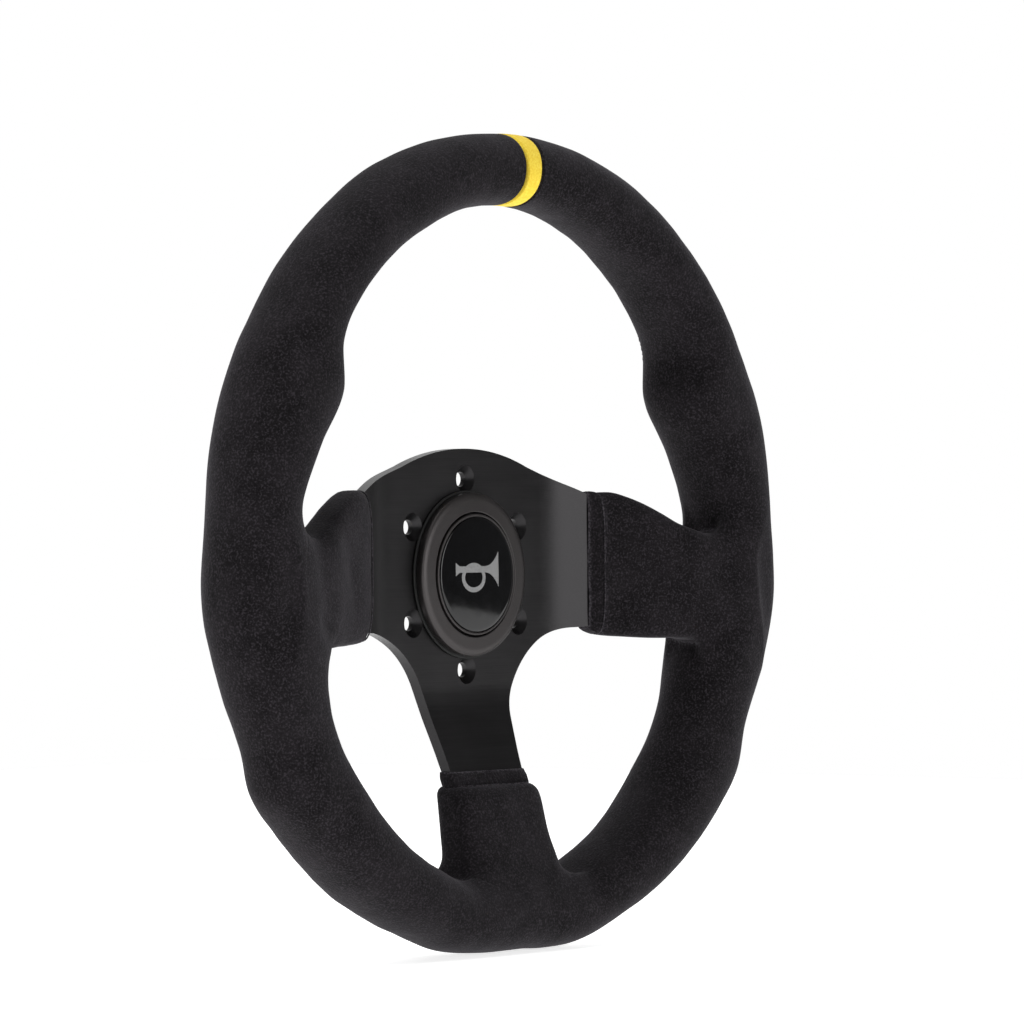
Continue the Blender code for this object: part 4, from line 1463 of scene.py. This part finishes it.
@dataclass
class SpokePlate:
    """The hub with its three dished spokes, cut from one plate."""

    finishes: Finishes
    hub_top: float = 0.0462
    arch_radius: float = 0.100
    arch_angle: float = 21.0
    bore_radius: float = 0.0253
    bolt_circle: float = 0.035
    bolt_radius: float = 0.00275
    sink_radius: float = 0.0052
    bolts: int = 6
    arm_top: tuple = ((0.050, 0.0351), (0.064, 0.0299), (0.070, 0.0266), (0.100, 0.0140), (0.142, 0.0110))
    arm_bottom: tuple = ((0.068, -0.0200), (0.100, -0.0185), (0.142, -0.0150))
    arm_tip: float = 0.1465
    corner: tuple = (0.0594, -0.0572, 0.0368)
    tail: tuple = ((-0.065, 0.0212), (-0.072, 0.0206), (-0.100, 0.0185), (-0.128, 0.0175))
    tail_tip: float = -0.1315
    arm_cut: float = 0.004
    tail_cut: float = 0.003
    bend_cuts: int = 13
    cutter_over: float = 0.0006
    edge_break: float = 0.00045
    edge_angle: float = 50.0
    crisp_angle: float = 35.0

    def half_outline(self) -> np.ndarray:
        """Right half of the outline, from the hub's top to the tail's tip.

        An arch over the hub, a smooth curve along the arm's top, its square tip, its bottom, a
        large round corner and the tail's side.

        Returns:
            Its points, across and up.
        """
        turn = np.radians(np.linspace(90, 90 - self.arch_angle, 25))
        middle = self.hub_top - self.arch_radius
        arch = np.stack([self.arch_radius * np.cos(turn), middle + self.arch_radius * np.sin(turn)], 1)
        knots = np.array([arch[-2], arch[-1], *self.arm_top])
        x = np.linspace(arch[-1, 0], self.arm_top[-1][0], 50)[1:]
        top = np.stack([x, hermite(knots[:, 0], knots[:, 1], x)], 1)
        tip = np.array([(self.arm_tip, self.arm_top[-1][1] - self.arm_cut),
                        (self.arm_tip, self.arm_bottom[-1][1] + self.arm_cut)])
        corner_x, corner_z, corner_r = self.corner
        under = np.array([(corner_x, corner_z + corner_r), *self.arm_bottom])
        x = np.linspace(self.arm_bottom[-1][0], corner_x, 30)
        bottom = np.stack([x, hermite(under[:, 0], under[:, 1], x)], 1)
        turn = np.radians(np.linspace(90, 172, 32))[1:]
        corner = np.stack([corner_x + corner_r * np.cos(turn), corner_z + corner_r * np.sin(turn)], 1)
        side = np.array([*self.tail[::-1], corner[-1][::-1], corner[-2][::-1]])
        z = np.linspace(corner[-1, 1], self.tail[-1][0], 34)[1:]
        tail = np.stack([hermite(side[:, 0], side[:, 1], z), z], 1)
        end = np.array([(self.tail[-1][1] - self.tail_cut, self.tail_tip)])
        return np.concatenate([arch, top, tip, bottom, corner, tail, end])

    def bolt_places(self) -> list[tuple[float, float]]:
        """Middle of each bolt hole, across and up."""
        turns = [math.radians(90 + i * 360 / self.bolts) for i in range(self.bolts)]
        return [(self.bolt_circle * math.cos(turn), self.bolt_circle * math.sin(turn)) for turn in turns]

    def loops(self) -> list[np.ndarray]:
        """The outline, the hub's bore and the bolt holes.

        Returns:
            The points of each, across and up.
        """
        half = self.half_outline()
        mirrored = half[::-1].copy()
        mirrored[:, 0] *= -1
        outline = np.concatenate([half, mirrored[:-1]])
        large, small = (np.stack([np.cos(turn), np.sin(turn)], 1) for turn in (circle(120), circle(40)))
        holes = [np.array(place) + self.bolt_radius * small for place in self.bolt_places()]
        return [outline, self.bore_radius * large, *holes]

    def flat(self) -> bpy.types.Mesh:
        """The flat plate, filled from its loops and given its thickness.

        Returns:
            Its mesh, lying flat.
        """
        curve = bpy.data.curves.new("plate_outline", "CURVE")
        curve.dimensions = "2D"
        curve.fill_mode = "BOTH"
        curve.extrude = DISH.plate / 2
        for loop in self.loops():
            spline = curve.splines.new("POLY")
            spline.points.add(len(loop) - 1)
            flat = np.concatenate([loop, np.zeros((len(loop), 1)), np.ones((len(loop), 1))], axis=1)
            spline.points.foreach_set("co", flat.ravel())
            spline.use_cyclic_u = True
        outline = bpy.data.objects.new("plate_outline", curve)
        mesh = bpy.data.meshes.new_from_object(outline)
        bpy.data.objects.remove(outline)
        bpy.data.curves.remove(curve)
        return mesh

    def bend(self, bm: bmesh.types.BMesh) -> None:
        """Cut the plate across each bend and push every point forward by the dish's rise.

        Args:
            bm: The upright plate.
        """
        run = DISH.depth / DISH.slope
        ways = (((1, 0, 0), DISH.side_bend), ((-1, 0, 0), DISH.side_bend), ((0, 0, -1), DISH.tail_bend))
        for way, bend in ways:
            for fold in (bend, bend + run):
                for share in np.linspace(-1, 1, self.bend_cuts):
                    place = Vector(way) * float(fold + share * DISH.bend_half)
                    geometry = bm.verts[:] + bm.edges[:] + bm.faces[:]
                    bmesh.ops.bisect_plane(bm, geom=geometry, plane_co=place, plane_no=way)
        for vertex in bm.verts:
            side = DISH.rise(np.array(abs(vertex.co.x)), DISH.side_bend)
            vertex.co.y -= float(side + DISH.rise(np.array(-vertex.co.z), DISH.tail_bend))

    def sink(self, plate: bpy.types.Object) -> None:
        """Cut the countersinks with cones of a right angle, then break the plate's edges.

        Args:
            plate: The bent plate.
        """
        bm = bmesh.new()
        over = self.cutter_over
        depth = self.sink_radius - self.bolt_radius + 2 * over
        middle = DISH.plate + over - depth / 2
        turn = Matrix.Rotation(math.radians(90), 4, "X")
        for across, up in self.bolt_places():
            bmesh.ops.create_cone(bm, cap_ends=True, segments=48, radius1=self.bolt_radius - over,
                                  radius2=self.sink_radius + over, depth=depth,
                                  matrix=Matrix.Translation((across, -middle, up)) @ turn)
        mesh = bpy.data.meshes.new("countersinks")
        bm.to_mesh(mesh)
        bm.free()
        cutter = bpy.data.objects.new("countersinks", mesh)
        bpy.context.scene.collection.objects.link(cutter)
        cut = plate.modifiers.new("countersinks", "BOOLEAN")
        cut.operation = "DIFFERENCE"
        cut.solver = "EXACT"
        cut.object = cutter
        edge = plate.modifiers.new("broken_edges", "BEVEL")
        edge.width = self.edge_break
        edge.segments = 3
        edge.limit_method = "ANGLE"
        edge.angle_limit = math.radians(self.edge_angle)
        self.apply(plate)
        bpy.data.objects.remove(cutter)

    @staticmethod
    def apply(plate: bpy.types.Object) -> None:
        """Turn the plate with its modifiers into a plain mesh.

        Args:
            plate: The plate.
        """
        bpy.context.view_layer.update()
        depsgraph = bpy.context.evaluated_depsgraph_get()
        done = bpy.data.meshes.new_from_object(plate.evaluated_get(depsgraph))
        plate.modifiers.clear()
        plate.data = done

    def shade_flat_faces(self, plate: bpy.types.Object) -> None:
        """Weight the normals by area, so that flat faces stay flat beside their rounded edges.

        Args:
            plate: The cut plate.
        """
        plate.data.shade_smooth()
        plate.data.set_sharp_from_angle(angle=math.radians(self.crisp_angle))
        flat = plate.modifiers.new("flat_faces", "WEIGHTED_NORMAL")
        flat.mode = "FACE_AREA"
        flat.weight = 50
        flat.keep_sharp = True
        self.apply(plate)

    def build(self) -> None:
        """Build the plate and dress it."""
        bm = bmesh.new()
        bm.from_mesh(self.flat())
        bmesh.ops.remove_doubles(bm, verts=bm.verts, dist=0.00001)
        upright = Matrix.Translation((0, -DISH.plate / 2, 0)) @ Matrix.Rotation(math.radians(90), 4, "X")
        bmesh.ops.transform(bm, matrix=upright, verts=bm.verts)
        self.bend(bm)
        bmesh.ops.recalc_face_normals(bm, faces=bm.faces)
        mesh = bpy.data.meshes.new("spoke_plate")
        bm.to_mesh(mesh)
        bm.free()
        plate = bpy.data.objects.new("spoke_plate", mesh)
        bpy.context.scene.collection.objects.link(plate)
        self.sink(plate)
        self.shade_flat_faces(plate)
        self.finishes.add(plate, Slot.PLATE, WHEEL, "spoke_frame")


# ------------------------------------------------------------------ horn unit

@dataclass
class HornUnit:
    """Bezel, gasket, push cap and domed lens with its horn symbol, and the parts behind them."""

    finishes: Finishes
    bezel_radius: float = 0.0300
    bezel_top: float = 0.0092
    bore_radius: float = 0.0229
    cap_radius: float = 0.0223
    cap_top: float = 0.0097
    cap_under: float = 0.0067
    recess_radius: float = 0.0213
    recess_floor: float = 0.0084
    lens_radius: float = 0.0210
    lens_base: float = 0.0095
    lens_edge: float = 0.0099
    lens_crown: float = 0.0107
    spring_radius: float = 0.0085
    spring_wire_radius: float = 0.0005
    spring_turns: int = 4
    spring_floor: float = -0.0072
    spring_head: float = 0.0006
    push_travel: float = 0.0025
    ink_thickness: float = 0.00003
    coil_thickness: float = 0.00005
    ink_depth: float = 0.00010

    def build_bezel(self) -> None:
        """Bezel with a flat satin face, a round shoulder, the barrel and its ledge and groove."""
        top, edge = self.bezel_top, self.bezel_radius
        corners = [(self.bore_radius, top), (0.0286, top - 0.0002), (edge, top - 0.0010), (edge, 0.0058),
                   (0.0249, 0.0058), (0.0249, -0.0004), (0.0240, -0.0004), (0.0240, -0.0022),
                   (0.0249, -0.0022), (0.0249, -0.0060), (0.0214, -0.0060), (0.0214, 0.0023),
                   (0.0190, 0.0023), (0.0190, 0.0039), (self.bore_radius, 0.0039)]
        radii = [0.0004, 0.0014, 0.0009, 0.0003, 0, 0, 0, 0, 0, 0.0003, 0.0002, 0, 0, 0, 0]
        profile = rounded_profile(corners, radii, 6, ring=True)
        self.finishes.add(turned_object("horn_bezel_ring", profile, True), Slot.BEZEL, WHEEL, "horn_bezel")

    def build_gasket(self) -> None:
        """Rubber ring whose lip shows under the bezel."""
        corners = [(0.0252, 0.0055), (0.0309, 0.0055), (0.0309, 0.0048), (0.0252, 0.0048)]
        profile = rounded_profile(corners, [0, 0.0003, 0.0002, 0], 4, ring=True)
        self.finishes.add(turned_object("bezel_gasket", profile, True), Slot.RUBBER, WHEEL, "horn_gasket")

    def build_cap(self) -> None:
        """Push cap: raised rim, recessed floor, skirt and the boss for the contact screw."""
        corners = [(0.0, self.recess_floor), (self.recess_radius, self.recess_floor),
                   (self.recess_radius, self.cap_top), (self.cap_radius, self.cap_top),
                   (self.cap_radius, self.cap_under), (0.0184, self.cap_under), (0.0184, 0.0020),
                   (0.0164, 0.0020), (0.0164, self.cap_under), (0.0040, self.cap_under),
                   (0.0040, 0.0020), (0.0014, 0.0020), (0.0014, 0.0062), (0.0, 0.0062)]
        radii = [0, 0, 0.00025, 0.0004, 0.0002, 0, 0.0002, 0.0002, 0, 0, 0.0002, 0, 0, 0]
        profile = rounded_profile(corners, radii, 5)
        self.finishes.add(turned_object("push_cap", profile, False), Slot.BEZEL, HORN_PUSH, "horn_cap")

    def dome(self, radius: np.ndarray) -> np.ndarray:
        """Height of the lens: a paraboloid from its crown down to its edge.

        Args:
            radius: Distances from the steering axis.

        Returns:
            The height at each.
        """
        share = np.clip(radius / self.lens_radius, 0, 1)
        return self.lens_edge + (self.lens_crown - self.lens_edge) * (1 - share**2)

    def build_lens(self) -> None:
        """Domed lens with a rounded edge."""
        shares = np.linspace(0, 0.975, 26)
        profile = [(self.lens_radius * s, float(self.dome(self.lens_radius * s))) for s in shares]
        profile += rounded_profile([profile[-1], (self.lens_radius, self.lens_edge - 0.0001),
                                    (self.lens_radius, self.lens_base)], [0, 0.00025, 0], 5)[1:]
        profile.append((0.0, self.lens_base))
        self.finishes.add(turned_object("lens_dome", profile, False), Slot.LENS, HORN_PUSH, "horn_lens")

    def symbol_strip(self, left: np.ndarray, right: np.ndarray,
                     closed: bool) -> tuple[np.ndarray, np.ndarray]:
        """A thin closed strip of ink between two lines, laid on the dome.

        Points run straight from one line to the other.  The closed coil is printed over the
        tube, so its ink stands higher.

        Args:
            left: Points of one side, across and up.
            right: Points of the other side.
            closed: Whether the strip joins its own end.

        Returns:
            Its vertices and quads.
        """
        share = np.linspace(0, 1, 7)[None, :, None]
        flat = left[:, None, :] * (1 - share) + right[:, None, :] * share
        height = self.dome(np.hypot(flat[..., 0], flat[..., 1]))
        rows, columns = height.shape
        ink_top = self.coil_thickness if closed else self.ink_thickness
        top, under = (np.stack([flat[..., 0], -(height + lift), flat[..., 1]], axis=-1)
                      for lift in (ink_top, -self.ink_depth))
        section = np.concatenate([top, under[:, ::-1]], axis=1)
        quads = grid_faces(rows, 2 * columns, closed, True)
        if not closed:
            ends = []
            for base in (0, (rows - 1) * 2 * columns):
                front = base + np.arange(columns)
                back = base + 2 * columns - 1 - np.arange(columns)
                end = np.stack([front[:-1], front[1:], back[1:], back[:-1]], axis=1)
                ends.append(end if base == 0 else end[:, ::-1])
            quads = np.concatenate([quads, *ends])
        return section.reshape(-1, 3), quads

    def build_symbol(self) -> None:
        """A plain horn pictogram printed on the lens: bell, tube, mouthpiece and a coil."""
        tube_half, lift = 0.00115, 0.0019
        bell_x = np.linspace(0.0030, 0.0116, 24)
        flare = tube_half + 0.0054 * ((bell_x - bell_x[0]) / (bell_x[-1] - bell_x[0])) ** 2.4
        tube_x = np.linspace(-0.0105, bell_x[0], 20)
        mouth_x = np.linspace(-0.0130, tube_x[0], 8)
        cup = tube_half + 0.00135 * (1 - (mouth_x - mouth_x[0]) / (mouth_x[-1] - mouth_x[0])) ** 1.5
        parts = []
        for x, half in ((bell_x, flare), (tube_x, np.full(20, tube_half)), (mouth_x, cup)):
            parts.append((np.stack([x, lift + half], 1), np.stack([x, lift - half], 1), False))
        turn = np.radians(np.arange(0, 360, 5.0))
        oval = [np.stack([-0.0030 + a * np.cos(turn), -0.0011 + b * np.sin(turn)], 1)
                for a, b in ((0.0067, 0.0054), (0.0050, 0.0036))]
        parts.append((oval[0], oval[1], True))
        vertices, faces, count = [], [], 0
        for left, right, closed in parts:
            points, quads = self.symbol_strip(left, right, closed)
            vertices.append(points)
            faces.append(quads + count)
            count += len(points)
        made = mesh_object("horn_symbol", np.concatenate(vertices), faces)
        self.finishes.add(made, Slot.PRINT, HORN_PUSH, "horn_emblem")

    def build_rear(self) -> None:
        """Insulating base with softened edges and a well for the spring."""
        corners = [(0.0, -0.0075), (0.0110, -0.0075), (0.0110, -0.0028), (0.0211, -0.0028),
                   (0.0211, -0.0063), (0.0246, -0.0063), (0.0246, -0.0078), (0.0130, -0.0078),
                   (0.0130, -0.0090), (0.0, -0.0090)]
        radii = [0, 0, 0.0002, 0.0003, 0, 0.0002, 0.0004, 0.0006, 0.0004, 0]
        profile = rounded_profile(corners, radii, 4)
        self.finishes.add(turned_object("contact_base", profile, False), Slot.NYLON, WHEEL, "horn_base")

    def build_spring(self) -> None:
        """Return spring, standing on its floor.

        The wire's centre line turns at one radius and rises evenly from the floor to the head,
        and each point of its skin is that line plus a circle in the plane of the radius and the
        axis.
        """
        rows, sides = 32 * self.spring_turns + 1, 10
        wire = self.spring_wire_radius
        turns = np.linspace(0, 2 * math.pi * self.spring_turns, rows)[:, None]
        rise = np.linspace(self.spring_floor + wire, self.spring_head - wire, rows)[:, None]
        round_wire = circle(sides)[None]
        reach = self.spring_radius + wire * np.cos(round_wire)
        height = rise + wire * np.sin(round_wire)
        skin = np.stack([reach * np.cos(turns), -height, reach * np.sin(turns)], axis=-1).reshape(-1, 3)
        made = mesh_object("return_spring_coil", skin, tube_faces(rows, sides), 60)
        self.finishes.add(made, Slot.SPRING, WHEEL, "return_spring")
        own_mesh(made)

    def build(self) -> None:
        """Build every shown piece of the horn unit."""
        self.build_bezel()
        self.build_gasket()
        self.build_cap()
        self.build_lens()
        self.build_symbol()
        self.build_rear()
        self.build_spring()


# ------------------------------------------------------------------ pieces kept from the frame

@dataclass(frozen=True)
class InnerParts:
    """Pieces whose solids already have their right shape and only take a finish."""

    finishes: Finishes

    def dress(self) -> None:
        """Give every shown node of the frame its finish."""
        slots = {row["node"]: row["material_slot"] for row in frame["record"]["subparts"]}
        for name, node in frame["nodes"].items():
            if node.hide_render:
                continue
            self.finishes.dress(node, Slot(slots[name]))
            LOG.info("%s: %s", name, slots[name])


# ------------------------------------------------------------------ studio

@dataclass(frozen=True)
class Softbox:
    """A square area light aimed at the wheel."""

    name: str
    azimuth: float
    elevation: float
    distance: float
    size: float
    watts: float

    def place(self, target: Vector) -> None:
        """Hang the light.  Azimuth 0 is on the driver's side and 90 on the driver's right.

        Args:
            target: Where it aims.
        """
        light = bpy.data.lights.new(self.name, "AREA")
        light.shape = "SQUARE"
        light.size = self.size
        light.energy = self.watts
        made = bpy.data.objects.new(self.name, light)
        bpy.context.scene.collection.objects.link(made)
        turn, lift = math.radians(self.azimuth), math.radians(self.elevation)
        way = Vector((math.sin(turn) * math.cos(lift), -math.cos(turn) * math.cos(lift), math.sin(lift)))
        made.location = target + way * self.distance
        made.rotation_mode = "QUATERNION"
        made.rotation_quaternion = way.to_track_quat("Z", "Y")
        made.visible_camera = False


@dataclass(frozen=True)
class Studio:
    """White table and backdrop, softboxes and the camera, with its angles in degrees."""

    yaw: float = 51.1123
    pitch: float = -0.1647
    roll: float = -0.4826
    distance: float = 2.2
    lens: float = 210.74
    aim_across: float = -0.016886
    aim_up: float = -0.022940
    floor_size: float = 2.6
    backdrop: float = 1.15
    room: float = 0.10
    softboxes: tuple[Softbox, ...] = (
        Softbox("overhead", -100, 66, 1.5, 1.2, 18),
        Softbox("left_side", -100, 12, 1.7, 0.9, 2.5),
        Softbox("front", 12, 6, 1.8, 1.0, 10),
    )

    def heading(self) -> Vector:
        """Direction in which the camera looks.

        Returns:
            Its unit vector.
        """
        yaw, pitch = math.radians(self.yaw), math.radians(self.pitch)
        level = math.cos(pitch)
        return Vector((math.sin(yaw) * level, math.cos(yaw) * level, -math.sin(pitch)))

    def build_camera(self) -> None:
        """A long lens on the driver's left, level with the wheel."""
        look = self.heading()
        right = Vector((math.cos(math.radians(self.yaw)), -math.sin(math.radians(self.yaw)), 0))
        up = right.cross(look)
        roll = math.radians(self.roll)
        across = math.cos(roll) * right + math.sin(roll) * up
        over = -math.sin(roll) * right + math.cos(roll) * up
        data = bpy.data.cameras.new("camera")
        data.lens = self.lens
        data.sensor_width = 36
        data.clip_start, data.clip_end = 0.1, 60
        camera = bpy.data.objects.new("camera", data)
        bpy.context.scene.collection.objects.link(camera)
        hub = Vector((0, -DISH.plate, 0))
        place = hub - self.distance * look - self.aim_across * across - self.aim_up * over
        axes = Matrix((across, over, -look)).transposed().to_4x4()
        camera.matrix_world = Matrix.Translation(place) @ axes
        bpy.context.scene.camera = camera

    def build_world(self) -> None:
        """Bright backdrop behind the wheel, a dim room in front, and white where nothing stands."""
        world = bpy.data.worlds.new("studio")
        bpy.context.scene.world = world
        world.use_nodes = True
        tree = world.node_tree
        tree.nodes.clear()
        way = add_node(tree, "ShaderNodeTexCoord").outputs["Generated"]
        facing = add_node(tree, "ShaderNodeVectorMath", {"operation": "DOT_PRODUCT"},
                          {0: way, 1: self.heading()}).outputs["Value"]
        glow = add_node(tree, "ShaderNodeMapRange", {"interpolation_type": "SMOOTHSTEP"},
                        {"Value": facing, "From Min": 0.35, "From Max": 0.92,
                         "To Min": self.room, "To Max": self.backdrop}).outputs[0]
        seen = add_node(tree, "ShaderNodeLightPath").outputs["Is Camera Ray"]
        lit = add_node(tree, "ShaderNodeBackground", inputs={"Strength": glow})
        white = add_node(tree, "ShaderNodeBackground", inputs={"Strength": 1.0})
        for node in (lit, white):
            node.inputs["Color"].default_value = (1, 1, 1, 1)
        both = add_node(tree, "ShaderNodeMixShader",
                        inputs={0: seen, 1: lit.outputs[0], 2: white.outputs[0]})
        add_node(tree, "ShaderNodeOutputWorld", inputs={"Surface": both.outputs[0]})

    def build_floor(self) -> None:
        """White table top that runs out of sight, lit a little from below as a product table is."""
        half = self.floor_size / 2
        level = float(CAD_BOX[0].z) - 0.0002
        corners = [(x * half, y * half, level) for x, y in ((-1, -1), (1, -1), (1, 1), (-1, 1))]
        mesh = bpy.data.meshes.new("table_top")
        mesh.from_pydata(corners, [], [(0, 1, 2, 3)])
        floor = bpy.data.objects.new("table_top", mesh)
        bpy.context.scene.collection.objects.link(floor)
        made, tree = new_material("white_laminate")
        finish_surface(tree, {"Base Color": linear("#F7F7F7"), "Roughness": 0.5, "Specular IOR Level": 0.3,
                              "Emission Color": linear("#FFFFFF"), "Emission Strength": 0.75})
        mesh.materials.append(made)

    def build(self) -> None:
        """Set up the whole studio."""
        bpy.context.scene.view_settings.view_transform = "Standard"
        self.build_camera()
        self.build_world()
        self.build_floor()
        middle = (CAD_BOX[0] + CAD_BOX[1]) / 2
        for box in self.softboxes:
            box.place(middle)


def main() -> None:
    """Build the studio, the grip, the plate and the horn unit, then dress what is left."""
    logging.basicConfig(level=logging.INFO, format="%(name)s: %(message)s")
    finishes = Finishes()
    Studio().build()
    SuedeGrip(finishes).build()
    SpokePlate(finishes).build()
    HornUnit(finishes).build()
    InnerParts(finishes).dress()


if __name__ == "__main__":
    main()
